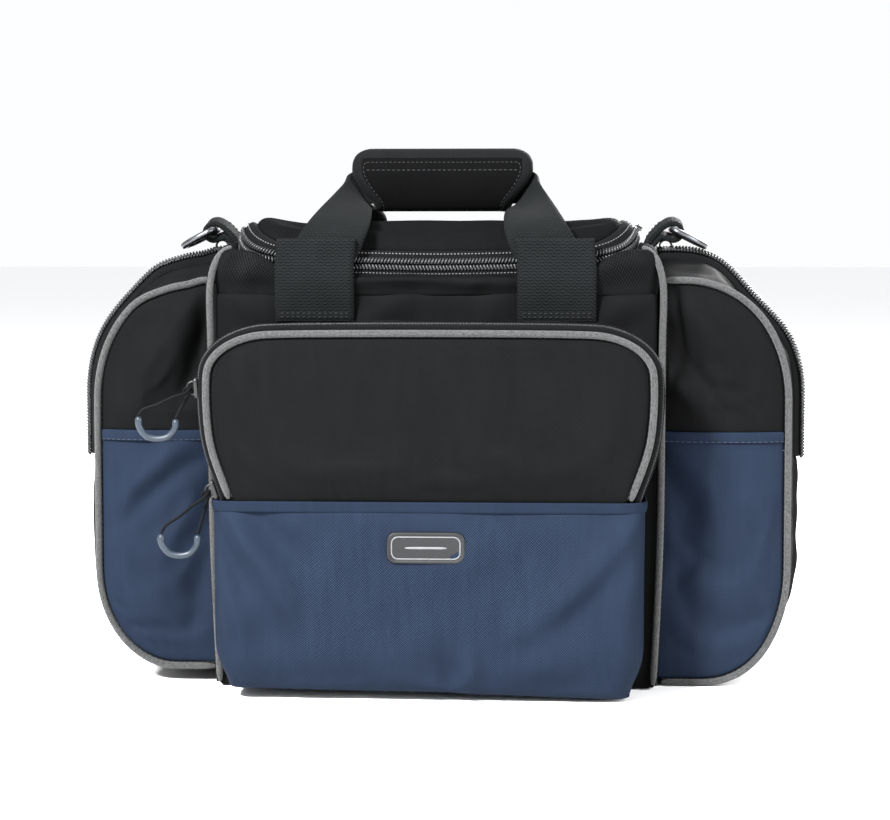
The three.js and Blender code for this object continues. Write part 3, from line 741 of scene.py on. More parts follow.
def navy_pocket():
    columns = 110
    # one cloth: the walls from the hem down, turned under to make the floor
    levels = [124, 121, 118, 114, 109, 103, 96, 88, 80, 72, 64, 56, 48, 40, 33, 27, 21, 16, 11.5,
              8, 5, 2.8, 1.2, 0.3, 0, 0, 0, 0, 0]
    tucked = {21: 0.8, 22: 2.2, 23: 4.6, 24: 8, 25: 16, 26: 27, 27: 38, 28: 46}
    rows = []
    for k, z in enumerate(levels):
        low = smooth((34 - z) / 34)
        w = 132.6 - 0.5 * smooth((124 - z) / 60) - 8.5 * low ** 1.5
        front = -136.2 - 2.2 * math.sin(math.pi * min(1, (124 - z) / 118)) + 3.5 * low ** 2
        front += tucked.get(k, 0)
        rear, r = -85.8, max(3.0, 15 - 3 * low - tucked.get(k, 0) * 0.25)
        outline = [(-w, rear)] + turn_arc(-w + r, front + r, r, r, 180, 270, 8)
        outline += turn_arc(w - r, front + r, r, r, 270, 360, 8) + [(w, rear)]
        line = resample([(x, y, z) for x, y in outline], count=columns)
        rows.append(line)
    p = np.array(rows)
    uv = lengths(p)
    x, y, z = p[..., 0], p[..., 1], p[..., 2]
    raised = pocket_floor_height(x)
    p[..., 2] = z + raised * smooth((70 - z) / 70)
    p[..., 0] -= 4.6 * smooth((-x - 60) / 60)
    front = smooth((-y - 118) / 14) * smooth((z - 2) / 8) * smooth((124 - z) / 10)
    out = folds(x, z, (
        (4.8, 6.0, (131, 116), (112, 92), (92, 70), (70, 52), (40, 38)),
        (-3.2, 4.6, (131, 104), (106, 76), (84, 55), (58, 40)),
        (2.4, 8, (128, 112), (118, 60), (116, 18)),
        (4.6, 5.5, (-130, 120), (-114, 100), (-96, 76), (-84, 50)),
        (-3.6, 4.2, (-133, 110), (-124, 88), (-116, 68)),
        (-2.6, 5.5, (-112, 118), (-92, 98), (-74, 84)),
        (3.0, 6, (-129, 84), (-122, 56), (-112, 22)),
        (1.5, 13, (-60, 118), (-20, 100), (30, 92)),
        (2.6, 5, (18, 8), (26, 22), (22, 40)),
        (-2.2, 3.5, (10, 7), (11, 18), (4, 32)),
        (1.6, 5, (6, 9), (-14, 15), (-40, 14)),
        (1.5, 9, (-100, 20), (-50, 30), (0, 26)),
        (2.0, 8, (50, 16), (85, 26), (112, 40)),
    ))
    out += ripple(x, z, 8, 62, 1.1)
    badge_rest = np.exp(-((x + 12) ** 2 + (z - 97) ** 2) / (2 * 26 ** 2))
    p[..., 1] -= out * front * (1.9 - 0.9 * badge_rest)
    held = hold(*x.shape)
    held[-9:] = 1  # the floor
    cloth("pocket_lower_cloth", p, NAVY, "bag", ["pocket_lower"], "cloth_navy", uv=uv,
          out=(0, -110, 60), thick=LINED, drape=(held, *POCKET_DRAPE))
    # the hem: a turned edge with one row of stitches
    top = p[0] + np.array([0, -0.5, 0.6])
    sweep("pocket_hem", top, [(1.6, 0.9), (0.2, 1.3), (-0.5, 0.5), (-0.7, -2.8), (-0.5, -5.8),
                              (0.6, -6.4), (1.6, -3)], NAVY, "bag", slot="cloth_navy",
          up=(0, 0, 1), levels=1)
    below = top - np.array([0, 0, 5.0])
    stitches("pocket_hem_stitches", below[5:-5] - axes(below, (0, 0, 1))[1][5:-5] * 0.9,
             (0, -1, 0), NAVY_THREAD, "bag", slot="cloth_navy")


def badge():
    """A plain rounded badge: a rubber plate with a raised rim and a raised bar across it."""
    x0, z0, y0 = -3.0, 97.5, -139.0

    def outline(w, h, r, y):
        ring = []
        for sx, sz, a in ((1, 1, 0), (-1, 1, 90), (-1, -1, 180), (1, -1, 270)):
            ring += turn_arc(x0 + sx * (w - r), z0 + sz * (h - r), r, r, a, a + 90, 6)
        return [(x, y, z) for x, z in ring]

    levels = [(24.5, 10, 6, y0 + 2.6), (24.5, 10, 6, y0 - 0.6), (24.0, 9.5, 5.7, y0 - 1.5),
              (23.2, 8.7, 5.2, y0 - 1.7), (22.2, 7.7, 4.6, y0 - 0.9), (8, 3, 2, y0 - 0.9)]
    p = np.array([outline(*v) for v in levels])
    n = p.shape[1]
    faces = grid_faces(len(levels), n, True) + caps(len(levels), n)
    plate = solid("badge_plate", p, faces, RUBBER)
    thicken(plate, 0, 1)
    place(plate, "bag", ["badge"], "badge")
    rim = np.array(outline(21.2, 6.8, 4.0, y0 - 1.2))
    sweep("badge_rim", rim, circle(0.9, 8), RAISED, "bag", slot="badge", loop=True)
    bar = resample([(x0 - 13, y0 - 1.1, z0), (x0 + 13, y0 - 1.1, z0)], count=14)
    sweep("badge_bar", bar, circle(1.6, 8, 0.6), RAISED, "bag", slot="badge",
          scale=rounded_ends(14), up=(0, 1, 0))


front_flap()
pocket_zip()
pocket_gusset()
navy_pocket()
badge()
flap_pipe = at_y(arch(0.3, 126.5), FLAP_Y - 2.55)
bead(flap_pipe, "flap_piping_bead", "pocket_flap", "flap_piping")


# ---- main compartment -----------------------------------------------------
HALF_WIDTH, HALF_DEPTH, WALL_TOP = 141, 85, 254
CHAIN_Z = 273.2  # the lid's zip at the front


def chain_height(y):
    """The lid's zip climbs from the front to the back."""
    return CHAIN_Z + 16.0 * smooth((np.asarray(y) + 85) / 40) + 5.0 * smooth((np.asarray(y) + 45) / 90)


def u_path(w, front, rear, r):
    """An open U in plan, up the left side, across the front and down the right one."""
    side, corner, across = 16, 12, 46
    left = np.stack([np.full(side, -w), np.linspace(rear, front + r, side)], 1)[:-1]
    first = np.array(turn_arc(-w + r, front + r, r, r, 180, 270, corner))[:-1]
    middle = np.stack([np.linspace(-w + r, w - r, across), np.full(across, front)], 1)
    second = np.array(turn_arc(w - r, front + r, r, r, 270, 360, corner))[1:]
    right = np.stack([np.full(side, w), np.linspace(front + r, rear, side)], 1)[1:]
    return np.vstack([left, first, middle, second, right])


def curl(x, y):
    """How far the top of the bag is drawn up at its two front corners, from 0 to 1."""
    return smooth((np.abs(x) - 78) / 44) * smooth((-np.asarray(y) - 22) / 44)


def dip(x, y):
    """How far the middle of the top's front edge sags."""
    return 1.8 * np.exp(-(x / 62) ** 2) * smooth((-y - 50) / 25)


def ring_path(w, front, rear, r):
    u = u_path(w, front, rear - r, r)
    back_right = np.array(turn_arc(w - r, rear - r, r, r, 0, 90, 8))[1:]
    back = np.stack([np.linspace(w - r, -w + r, 40), np.full(40, rear)], 1)[1:]
    back_left = np.array(turn_arc(-w + r, rear - r, r, r, 90, 180, 8))[1:-1]
    return np.vstack([u, back_right, back, back_left])


def collar():
    def rise(y):
        behind = lerp(chain_height(60), 291.5, smooth((y - 60) / 22))
        return np.where(y > 60, behind, chain_height(y))

    rows = []
    # half width, front, rear, corner, share of the climb, height at the front, lift at its corners
    for w, f, b, r, share, z, lift in (
        (141.2, -85.2, 85.2, 9, 0.0, 252.0, 0),
        (141.8, -86.2, 85.6, 9, 0.0, 255.4, 3),
        (142.2, -88.0, 86.0, 9, 0.02, 257.4, 8),
        (142.2, -89.2, 86.2, 10, 0.06, 259.6, 13),
        (141.6, -89.4, 86.2, 11, 0.12, 261.8, 16),
        (140.0, -88.4, 86.0, 13, 0.22, 263.6, 17.5),
        (138.0, -86.6, 85.8, 16, 0.36, 264.3, 17.5),
        (135.4, -85.6, 85.4, 20, 0.56, 264.6, 16),
        (132.8, -85.4, 85.0, 24, 0.80, 265.0, 13),
        (130.8, -85.0, 84.4, 27, 1.0, 265.7, 9.5),
        (129.6, -84.0, 83.4, 28, 1.0, 266.6, 6.5),
    ):
        plan = ring_path(w, f, b, r)
        climb = rise(plan[:, 1]) - CHAIN_Z
        z = z + share * climb + lift * curl(plan[:, 0], plan[:, 1]) ** 1.4
        rows.append(np.column_stack([plan, z]))
    p = np.array(rows)
    uv = lengths(p)
    x, y, z = p[..., 0], p[..., 1], p[..., 2]
    front = smooth((-y - 60) / 20)
    bumps = folds(x, z, (
        (2.4, 2.4, (-140, 262), (-122, 264), (-104, 261)),
        (-1.6, 1.8, (-138, 258), (-120, 259.5), (-104, 257)),
        (2.8, 3.0, (-124, 262), (-118, 268), (-112, 276)),
        (-2.4, 3.2, (-131, 266), (-126, 274), (-124, 280)),
        (2.2, 3.4, (104, 266), (122, 270), (136, 276)),
        (-2.0, 2.0, (104, 259), (122, 262), (138, 264)),
        (2.6, 3.0, (22, 258), (28, 262), (30, 268)),
        (-1.2, 1.8, (-52, 258), (-20, 259), (16, 258)),
        (1.4, 2.2, (-30, 264), (-18, 262), (-6, 264)),
    ))
    bumps += ripple(x, z, 12, 34, 1.3)
    p[..., 1] -= 1.3 * bumps * front
    cloth("collar_cloth", p, BLACK, "bag", ["top_collar"], "cloth_black", uv=uv, closed=True,
          out=(0, 0, 255), thick=FACED)


def wall(name, node, corners, outward, bulge, seed, drape=True, rows=30, columns=40, extra=None):
    """A flat panel between four corners, given bottom left, bottom right, top right, top left."""
    a, b, c, d = (np.array(v, float) for v in corners)
    u = np.linspace(0, 1, columns)[None, :, None]
    v = np.linspace(0, 1, rows)[:, None, None]
    p = (1 - v) * ((1 - u) * a + u * b) + v * ((1 - u) * d + u * c)
    uv = lengths(p)
    out = bulge * pillow(rows, columns, 2.4)
    out += ripple(uv[..., 0], uv[..., 1], seed, 70, 0.8) * pillow(rows, columns, 5)
    if extra is not None:
        out += extra(p[..., 0], p[..., 2])
    p += out[..., None] * np.array(outward, float)
    cloth(name, p, BLACK, "bag", [node], "cloth_black", uv=uv, thick=WALLED,
          drape=(hold(rows, columns), *WALL_DRAPE) if drape else None)


def front_folds(x, z):
    made = folds(x, z, (
        (2.6, 5, (-128, 252), (-116, 244), (-106, 234)),
        (-1.6, 4, (-136, 246), (-126, 234), (-120, 226)),
        (3.0, 5, (138, 252), (120, 244), (104, 232)),
        (-1.6, 4, (134, 240), (122, 232), (110, 224)),
        (3.0, 5, (-14, 252), (-32, 244), (-52, 234)),
        (-2.0, 4, (-28, 252), (-44, 244), (-52, 240)),
        (2.2, 6, (46, 254), (34, 244), (30, 234)),
    ))
    return 1.5 * made


def main_walls():
    w, d, h = HALF_WIDTH, HALF_DEPTH, WALL_TOP
    wall("front_cloth", "front_panel", [(-w, -d, 0.5), (w, -d, 0.5), (w, -d, h), (-w, -d, h)],
         (0, -1, 0), 0.8, seed=2, columns=60, extra=front_folds)
    wall("rear_cloth", "rear_panel", [(w, d, 0.5), (-w, d, 0.5), (-w, d, h), (w, d, h)],
         (0, 1, 0), 3.5, seed=5, columns=60)
    side = d - 0.6
    for name, s in SIDES:
        corners = [(s * w, s * y, z) for y, z in ((side, 0.5), (-side, 0.5), (-side, h), (side, h))]
        wall(name + "_wall_cloth", name + "_wall", corners, (s, 0, 0), 0.0, seed=7, rows=20,
             columns=24, drape=False)
    wall("bottom_cloth", "bottom_panel", [(-w, d - 1, 0.2), (w, d - 1, 0.2), (w, -d + 1, 0.2),
                                          (-w, -d + 1, 0.2)],
         (0, 0, 1), 1.2, seed=9, rows=22, columns=34, drape=False)
    board = np.array([[(x, y, 6.4 + 0.5 * math.cos(x / 60) * math.cos(y / 50))
                       for x in np.linspace(-129, 129, 30)] for y in np.linspace(-74, 74, 20)])
    cloth("base_board_cover", board, BOARD, "bag", ["base_board"], "base_board", out=(0, 0, -300),
          thick=2.6)
    # topstitching along the rear panel's foot, and a binding up each rear corner
    seam = resample([(-w, d + 1, 8), (w, d + 1, 8)], count=60)
    stitches("rear_seam_stitches", seam, (0, 1, 0), BLACK_THREAD, "bag", slot="cloth_black")
    for name, s in SIDES:
        line = resample([(s * 140.6, d + 0.6, 1.5), (s * 141, d + 0.8, 120), (s * 140.4, d + 1, 256),
                         (s * 135, d + 0.5, 276)], step=5)
        sweep(name + "_rear_binding", line, circle(3.2, 10, 0.8), BINDING, "bag",
              slot="cloth_black", scale=rounded_ends(len(line)))


def corner_piping():
    for name, s in SIDES:
        points = [(139.2, -87.4, 3), (141.0, -87.7, 40), (143.2, -87.7, 100), (143.7, -87.7, 180),
                  (143.9, -87.7, 226), (144.4, -87.8, 246), (144.2, -87.6, 258), (142.8, -86.8, 267),
                  (140.2, -85.4, 274.5), (136.2, -83.2, 280), (131.0, -79.6, 283.4)]
        line = catmull([(s * x, y, z) for x, y, z in points], 8)
        bead(line, f"front_piping_{name}_bead", "bag", f"front_piping_{name}",
             side=-1 if s > 0 else 1)


collar()
main_walls()
corner_piping()


# ---- lid and its zip ------------------------------------------------------
def lid_and_zip():
    def loop(w, front, r, drop):
        plan = u_path(w, front, 62, r)
        x, y = plan[:, 0], plan[:, 1]
        return np.column_stack([plan, chain_height(y) + drop - dip(x, y) + 5.5 * curl(x, y)])

    chain = loop(127.4, -82.6, 29, 0.0)
    lower = [loop(129.6, -84.0, 28, -7.2), loop(129.3, -84.3, 28.5, -5.4),
             loop(128.2, -83.4, 29, -3.0), chain]
    upper = [chain, loop(126.2, -81.6, 29, 3.4), loop(123.8, -80.0, 29, 6.4),
             loop(121.4, -78.0, 28, 7.6), loop(119.4, -75.7, 27, 6.6), loop(116.6, -72.6, 26, 4.6),
             loop(112.0, -68.0, 25, 2.2)]
    cloth("lid_zip_tape_outer", np.array(lower), TAPE, "bag", ["lid_zip_outer"], "zip",
          out=(0, 0, 230), thick=0.8)
    cloth("lid_zip_tape_inner", np.array(upper), TAPE, "lid", ["lid_zip_inner"], "zip",
          out=(0, 0, 230), thick=0.8)
    for name, body, rows, shift in (("lid_zip_coil_outer", "bag", (chain, lower[2]), 0.0),
                                    ("lid_zip_coil_inner", "lid", (chain, upper[1]), 0.5)):
        coil(name, rows[0], rows[1] - rows[0], body, 2.15, 4.2, 2.6, lean=0.45, shift=shift,
             lift=0.9 if shift else -0.9)
    # the double stitching along both sides of the chain, its thread coloured light grey as a painted
    # highlight on the stitches
    for name, body, row in (("outer", "bag", lower[1]), ("inner", "lid", upper[2])):
        away = unit(row - np.array([0, 0, 268.0]))
        stitches(f"lid_tape_stitches_{name}", row + away * 0.35, (0, -0.8, 0.6), ZIP_THREAD_PAINTED_HIGHLIGHT, body,
                 1.25, 0.95, 0.85 if name == "inner" else 0.6, slot="zip")

    # the lid: a soft pad that rolls over at all four of its edges
    rows, columns = 44, 64
    a = np.linspace(-1, 1, columns)[None, :] * np.ones((rows, 1))
    b = np.linspace(-1, 1, rows)[:, None] * np.ones((1, columns))
    pull = np.where(b > 0, 6.0, 8.6) * np.abs(a) ** 7 * np.abs(b) ** 7
    x = a * 119.8 - np.sign(a) * pull
    front, rear = -75.8, 83.0
    y = lerp(front, rear, (b + 1) / 2) - np.sign(b) * pull
    x += 5.5 * np.sign(a) * np.abs(a) ** 6 * smooth((y - 56) / 12)
    rim = chain_height(np.minimum(y, 66)) + 5.6 - dip(x, y)
    rim = rim + 5.5 * curl(x, y) - 13.0 * smooth((y - 54 + 3 * a ** 8) / (28 - 11 * a ** 8))
    edge_x = 1 - np.abs(a) ** 9
    edge_y = np.where(b < 0, 1 - np.abs(b) ** 16, 1 - np.abs(b) ** 6)
    swell = np.sqrt(np.clip(edge_x * edge_y, 0, 1))
    sag = 6.5 * (1 - a ** 2) * (1 - b ** 2) * smooth((b + 0.75) / 0.8)
    z = rim + (7.6 - 5.6 * smooth((y + 58) / 50)) * swell - 1.1 * sag
    z = folds(x, y, (
        (3.2, 3.4, (-104, -66), (-20, -70), (60, -69), (104, -66)),
        (-3.4, 4.2, (-96, -55), (0, -61), (96, -56)),
        (1.6, 6.0, (-90, -42), (-10, -50), (84, -44)),
        (1.6, 9.0, (-60, -30), (-10, -44), (40, -40)),
        (1.6, 9.0, (30, -20), (70, -40), (100, -50)),
    ), z, swell)
    z += ripple(x, y, 21, 55, 1.4) * swell
    p = np.stack([x, y, z], -1)
    piece = cloth("lid_cloth", p, LID_CLOTH, "lid", ["lid_panel"], "cloth_black", out=(0, 0, 200),
                  uv=p[..., :2].copy(), thick=2.4,
                  blend=("bag", (0, 82.0, 293), (0, 66.0, 293)),
                  drape=(hold(rows, columns, 4), *LID_DRAPE))


# ---- end pockets ----------------------------------------------------------
INNER, OUTER, DEPTH, BOTTOM, TOP, DOME = 142.0, 221.0, 67.0, 7.0, 262.0, 17.0
HEM_Z, ZIP_END = 164.0, 143.0
FACE_GAP = 1.4  # from the frame's edge out to the seam of a pocket's face


def dome(y):
    return DOME * (1 - min(abs(y) / DEPTH, 1) ** 2.2)


def crest(y):
    """The cloth's own bulge: rounder than the frame's at the front, where it rolls up to the zip."""
    if y >= 0:
        return dome(y)
    return 0.86 * DOME * (1 - min(-y / DEPTH, 1) ** 1.1)


def upper_line(offset, low):
    points = [(INNER, TOP + offset)]
    points += turn_arc(OUTER - 62, TOP - 77, 62 + offset, 77 + offset, 90, 0, 26)
    return np.array([(x, 0, z) for x, z in points + [(OUTER + offset, low)]])


def lower_line(offset, high):
    base = BOTTOM - (offset * 0.35 if offset > 0 else offset)
    centre = BOTTOM + 68
    points = [(OUTER + offset, high)]
    points += turn_arc(OUTER - 50, centre, 50 + offset, centre - base, 0, -90, 22)
    return np.array([(x, 0, z) for x, z in points + [(INNER, base)]])


def upper_face(inset, low, corner_x, rows, columns):
    line = upper_line(inset, low)
    corner = (corner_x, 0, low)
    split = 16
    return coons(np.array([corner, line[-1]]), line[:split + 1], np.array([corner, line[0]]),
                 line[split:][::-1], rows, columns)


def lower_face(inset, high, rows, columns):
    line = lower_line(inset, high)
    corner = (INNER, 0, high)
    split = 12
    return coons(line[split:][::-1], np.array([corner, line[0]]), np.array([line[-1], corner]),
                 line[:split + 1][::-1], rows, columns)


def lean_pocket(p, side):
    """Each end pocket hangs in its own way: the right one is fuller, the left one sits higher."""
    p = np.array(p, float)
    rim = np.abs(p[..., 1]) / DEPTH
    rim = np.clip(rim, 0, 1) ** 2
    shoulder = np.exp(-((p[..., 0] - 208) / 26) ** 2) * np.exp(-((p[..., 2] - 248) / 34) ** 2)
    if side > 0:
        p[..., 0] += 4.5 * smooth((p[..., 0] - 150) / 60) * rim
        p[..., 2] -= 5.0 * smooth((70 - p[..., 2]) / 70) * rim
        draw = 9.0 * shoulder * (1 - rim)
    else:
        p[..., 2] += 3.2 * smooth((70 - p[..., 2]) / 70) * rim
        along = smooth((p[..., 0] - 150) / 14) * smooth((200 - p[..., 0]) / 24)
        p[..., 2] -= 3.2 * along * smooth((p[..., 2] - 200) / 40)
        draw = 5.0 * shoulder * (1 - rim)
    p[..., 0] -= 0.7 * draw
    p[..., 2] -= 0.7 * draw
    p[..., 0] *= side
    return p


def end_face_folds(x, z, side):
    """Folds on a pocket's front: from the pinched top inner corner, and across the lower cloth."""
    if side < 0:
        made = folds(x, z, (
            (8.5, 7.5, (154, 262), (162, 248), (176, 226), (192, 200), (200, 176)),
            (-7.5, 5.5, (146, 256), (151, 234), (156, 208), (164, 184)),
            (-2.2, 7, (176, 252), (196, 224), (208, 190)),
            (4.2, 5.0, (152, 160), (170, 152), (192, 134), (210, 112)),
            (-3.6, 4.6, (150, 148), (168, 138), (188, 120), (204, 100)),
            (3.4, 9, (152, 128), (170, 100), (178, 60), (172, 28)),
            (-3.4, 6, (148, 110), (154, 74), (156, 30)),
            (2.0, 7, (210, 110), (202, 70), (184, 34)),
        ))
        return made
    made = folds(x, z, (
        (7.0, 6.5, (150, 258), (168, 240), (186, 216), (196, 190)),
        (-6.4, 6, (146, 246), (156, 220), (170, 194)),
        (2.8, 5, (148, 206), (160, 190), (170, 172)),
        (4.2, 6, (148, 154), (160, 146), (178, 128), (184, 100)),
        (-4.0, 6.5, (146, 138), (158, 120), (164, 84), (152, 56)),
        (2.8, 10, (206, 128), (200, 84), (178, 40)),
        (-1.8, 7, (160, 58), (184, 36), (204, 48)),
    ))
    return made


def end_face(name, side, y, outward, node_upper, node_lower, body_upper, slot_upper):
    """The front or rear face of an end pocket, in a dark upper cloth and a navy lower one."""
    rows, columns = 30, 26
    upper = upper_face(-2.2, HEM_Z, INNER, rows, columns)
    lower = lower_face(-2.2, HEM_Z, rows + 6, columns)
    for part, p, look, node, body, slot in (
        ("upper", upper, BLACK, node_upper, body_upper, slot_upper),
        ("lower", lower, NAVY, node_lower, "bag", "cloth_navy"),
    ):
        uv = flat_uv(p)
        x, z = p[..., 0], p[..., 2]
        n_rows = p.shape[0]
        u = np.linspace(-1, 1, columns)[None, :]
        v = np.linspace(0, 1, n_rows)[:, None]
        across = 1 - np.abs(u) ** 2.4
        rim = np.sin(v * math.pi / 2) if part == "lower" else np.cos(v * math.pi / 2)
        full = across * np.clip(rim, 0, 1) ** 0.6
        out = 8.5 * full
        if outward < 0:
            edge = np.clip(across * 3, 0, 1) * np.clip(rim * 3, 0, 1)
            out = out + end_face_folds(x, z, side) * edge
        out += ripple(x, z, 31 + side + abs(int(y)), 52, 1.0) * full
        p[..., 1] = y + outward * out
        p = lean_pocket(p, side)
        cloth(f"{name}_{part}_cloth", p, look, body, [node] if node else [], slot,
              out=(side * 175, 0, 130), uv=uv * [side, 1], thick=FACED,
              drape=(hold(n_rows, columns), *FACE_DRAPE))
    # the navy cloth's turned and stitched top edge lies over the dark cloth
    if outward < 0:
        count = 26
        u = np.linspace(-1, 1, count)
        xs = np.linspace(INNER, OUTER - 2.6, count)
        out = 8.5 * (1 - np.abs(u) ** 2.4)
        line = np.stack([xs, y - out - 0.9, np.full(count, HEM_Z + 0.4)], 1)
        line = lean_pocket(line, side)
        turned = [(side * x, z) for x, z in
                  ((0, 0.7), (0.6, 0.9), (1.1, 0), (1.0, -3), (0.8, -6.4), (0, -7))]
        sweep(f"{name}_hem", line, turned, NAVY, "bag", slot="cloth_navy", up=(0, 0, 1), levels=1)
        stitches(f"{name}_hem_stitches", line + [0, -1.25, -5.6], (0, -1, 0), NAVY_THREAD, "bag",
                 slot="cloth_navy")


def gusset_grid(line_at, layers, side, seed):
    rows = []
    for y in layers:
        line = resample(line_at(crest(y)), count=76)
        line[:, 1] = y
        rows.append(line)
    p = np.array(rows)
    _, n, _ = axes(p[len(layers) // 2], (0, 1, 0))
    if np.dot(n[10], [1, 0, 1]) < 0:
        n = -n
    far = np.linspace(0, 1, 76)[None, :]
    deep = np.linspace(0, 1, len(layers))[:, None]
    draw = np.random.default_rng(seed)
    puff = 0.6 * np.sin(deep * math.pi)
    for k in range(5):
        swing = far * draw.uniform(12, 46) + draw.uniform(0, 6) + deep * draw.uniform(-4, 4)
        puff = puff + (0.5 / (1 + k * 0.4)) * np.sin(swing) * np.sin(deep * math.pi)
    p += puff[..., None] * n[None]
    return lean_pocket(p, side)


def end_pocket(name, side):
    end_face(f"{name}_pocket_front", side, -DEPTH - FACE_GAP, -1, f"{name}_pocket_front_upper",
             f"{name}_pocket_front_lower", "bag", "cloth_black")

    def whole(offset):
        return np.vstack([upper_line(offset, ZIP_END), lower_line(offset, 112)])

    def opening(offset):
        return upper_line(offset, ZIP_END + 0.3)

    def closed(offset):
        return lower_line(offset, ZIP_END)

    layers = [-68.5, -64, -58, -51, -44, -36, -28, -20, -14, -10, -8.2]
    p = gusset_grid(whole, layers, side, 41 + side)
    middle = (side * 165, 0, 130)
    cloth(f"{name}_gusset_cloth", p, BLACK, "bag", [f"{name}_pocket_gusset"], "cloth_black",
          out=middle, thick=LINED, drape=(hold(*p.shape[:2]), *WALL_DRAPE))
    p = gusset_grid(opening, [-y for y in layers][::-1], side, 47 + side)
    cloth(f"{name}_leaf_gusset_cloth", p, BLACK, f"{name}_leaf", [f"{name}_leaf_gusset"],
          "cloth_black", out=middle, thick=LINED)

    # the rear face: the leaf above the zip's end, and the navy lower part
    rows, columns = 26, 24
    leaf = upper_face(-1.0, ZIP_END + 0.6, INNER + 0.6, rows, columns)
    uv = flat_uv(leaf)
    full = pillow(rows, columns, 2.4)
    uneven = ripple(leaf[..., 0], leaf[..., 2], 53 + side, 48, 1.1)
    leaf[..., 1] = DEPTH + FACE_GAP + 5.5 * full + uneven * full
    leaf = lean_pocket(leaf, side)
    cloth(f"{name}_leaf_cloth", leaf, BLACK, f"{name}_leaf", [f"{name}_leaf_panel"], "cloth_black",
          out=(side * 175, 0, 190), uv=uv, thick=FACED, drape=(hold(rows, columns), *REAR_DRAPE))
    base = lower_face(-1.0, ZIP_END, rows, columns)
    uv = flat_uv(base)
    base[..., 1] = DEPTH + FACE_GAP + 5.5 * full
    base = lean_pocket(base, side)
    cloth(f"{name}_rear_lower_cloth", base, NAVY, "bag", [f"{name}_pocket_rear_lower"], "cloth_navy",
          out=(side * 175, 0, 90), uv=uv, thick=FACED, drape=(hold(rows, columns), *REAR_DRAPE))
    p = gusset_grid(closed, [-8.4, -4, 0, 4, 10, 18, 28, 38, 48, 58, 64, 68.5], side, 59 + side)
    cloth(f"{name}_rear_gusset_cloth", p, BLACK, "bag", (), "cloth_black", out=middle, thick=LINED)

    # piping round the front, and a bound seam round the back
    line = np.vstack([upper_line(0, 150), lower_line(0, 100)])
    line[:, 1] = -DEPTH - 2.6
    line[0, 0] += 2.5
    line[-1, 0] += 2.5
    bead(lean_pocket(resample(line, step=4), side), f"{name}_pocket_bead", "bag",
         f"{name}_pocket_piping", side=-1 if side > 0 else 1)
    for part, made, body in (("upper", upper_line(-0.4, ZIP_END + 1), f"{name}_leaf"),
                             ("lower", lower_line(-0.4, ZIP_END - 1), "bag")):
        made[:, 1] = DEPTH + 1.8
        made = lean_pocket(resample(made, step=5), side)
        sweep(f"{name}_rear_seam_{part}", made, circle(2.8, 8, 0.9), BINDING, body,
              slot="cloth_black", scale=rounded_ends(len(made)))

    # the zip over the top: two tapes and the two halves of its coil
    line = resample(opening(DOME + 1.4), step=4)
    line[0, 0] += 0.5
    mirrored = lean_pocket(line, side)
    for part, body, sign, node in (("fixed", "bag", -1, f"{name}_zip_fixed"),
                                   ("leaf", f"{name}_leaf", 1, f"{name}_zip_leaf")):
        if sign < 0:
            profile = [(0.1, -0.2), (-2.2, -4.2), (-4.0, -7.0), (-5.6, -9.8)]
        else:
            profile = [(0.2, 0.2), (1.0, 4.2), (0.4, 7.0), (-1.0, 9.6)]
        sweep(f"{name}_zip_tape_{part}", mirrored, [(x * side, y) for x, y in profile], TAPE, body,
              [node], "zip", closed=False, thick=0.7, scale=rounded_ends(len(mirrored), 2))
        out_of = axes(mirrored, (0, 1, 0))[1] * side
        lean = 0.5 if sign < 0 else 0.3
        coil(f"{name}_zip_coil_{part}", mirrored, np.array([0, sign, 0]) + lean * sign * out_of, body,
             2.1, 3.8, 2.2, shift=0.5 if sign > 0 else 0, away=out_of, lift=2.0)
        welt = mirrored + [0, sign * 9.6, 0] + out_of * (-5.4 if sign < 0 else -0.8)
        sweep(f"{name}_zip_welt_{part}", welt, circle(3.0, 8, 0.9), BLACK, body,
              slot="cloth_black", scale=rounded_ends(len(welt)))


# ---- handles --------------------------------------------------------------
WEBBING, WEBBING_THICK = 50, 2.3


def slab(name, front, back, body, nodes, blend, uv=None):
    """Webbing between a front and a back grid of points, closed all round."""
    shell = np.concatenate([front, back[:, ::-1]], 1)
    uv = shell[..., [0, 2]] if uv is None else np.concatenate([uv, uv[:, ::-1]], 1)
    rows, columns, _ = shell.shape
    faces = grid_faces(rows, columns, True) + caps(rows, columns)
    place(solid(name, shell, faces, WEB, uv.reshape(-1, 2)), body, nodes, "webbing", blend)


def strap(name, stations, body, nodes, blend, sign):
    """Flat webbing: each station is outer x and z, inner x and z, and the distance from the middle."""
    edges = np.array([((ox, sign * y, oz), (ix, sign * y, iz)) for ox, oz, ix, iz, y in stations], float)
    outer = catmull(edges[:, 0], 8)
    inner = catmull(edges[:, 1], 8)
    share = np.linspace(0, 1, 13)[None, :, None]
    p = outer[:, None] * (1 - share) + inner[:, None] * share
    t = unit(np.gradient(p.mean(1), axis=0))
    side = unit(p[:, -1] - p[:, 0])
    face = unit(np.cross(t, side))
    bow = (1 - (2 * share[..., 0] - 1) ** 4) * 0.5
    p = p + bow[..., None] * face[:, None] * 0.6
    far = distances(p[:, 6])
    uv = np.stack([np.broadcast_to(np.linspace(0, WEBBING, 13), p.shape[:2]),
                   np.broadcast_to(far[:, None], p.shape[:2])], -1)
    half = face[:, None] * WEBBING_THICK / 2
    slab(name, p + half, p - half, body, nodes, blend, uv)


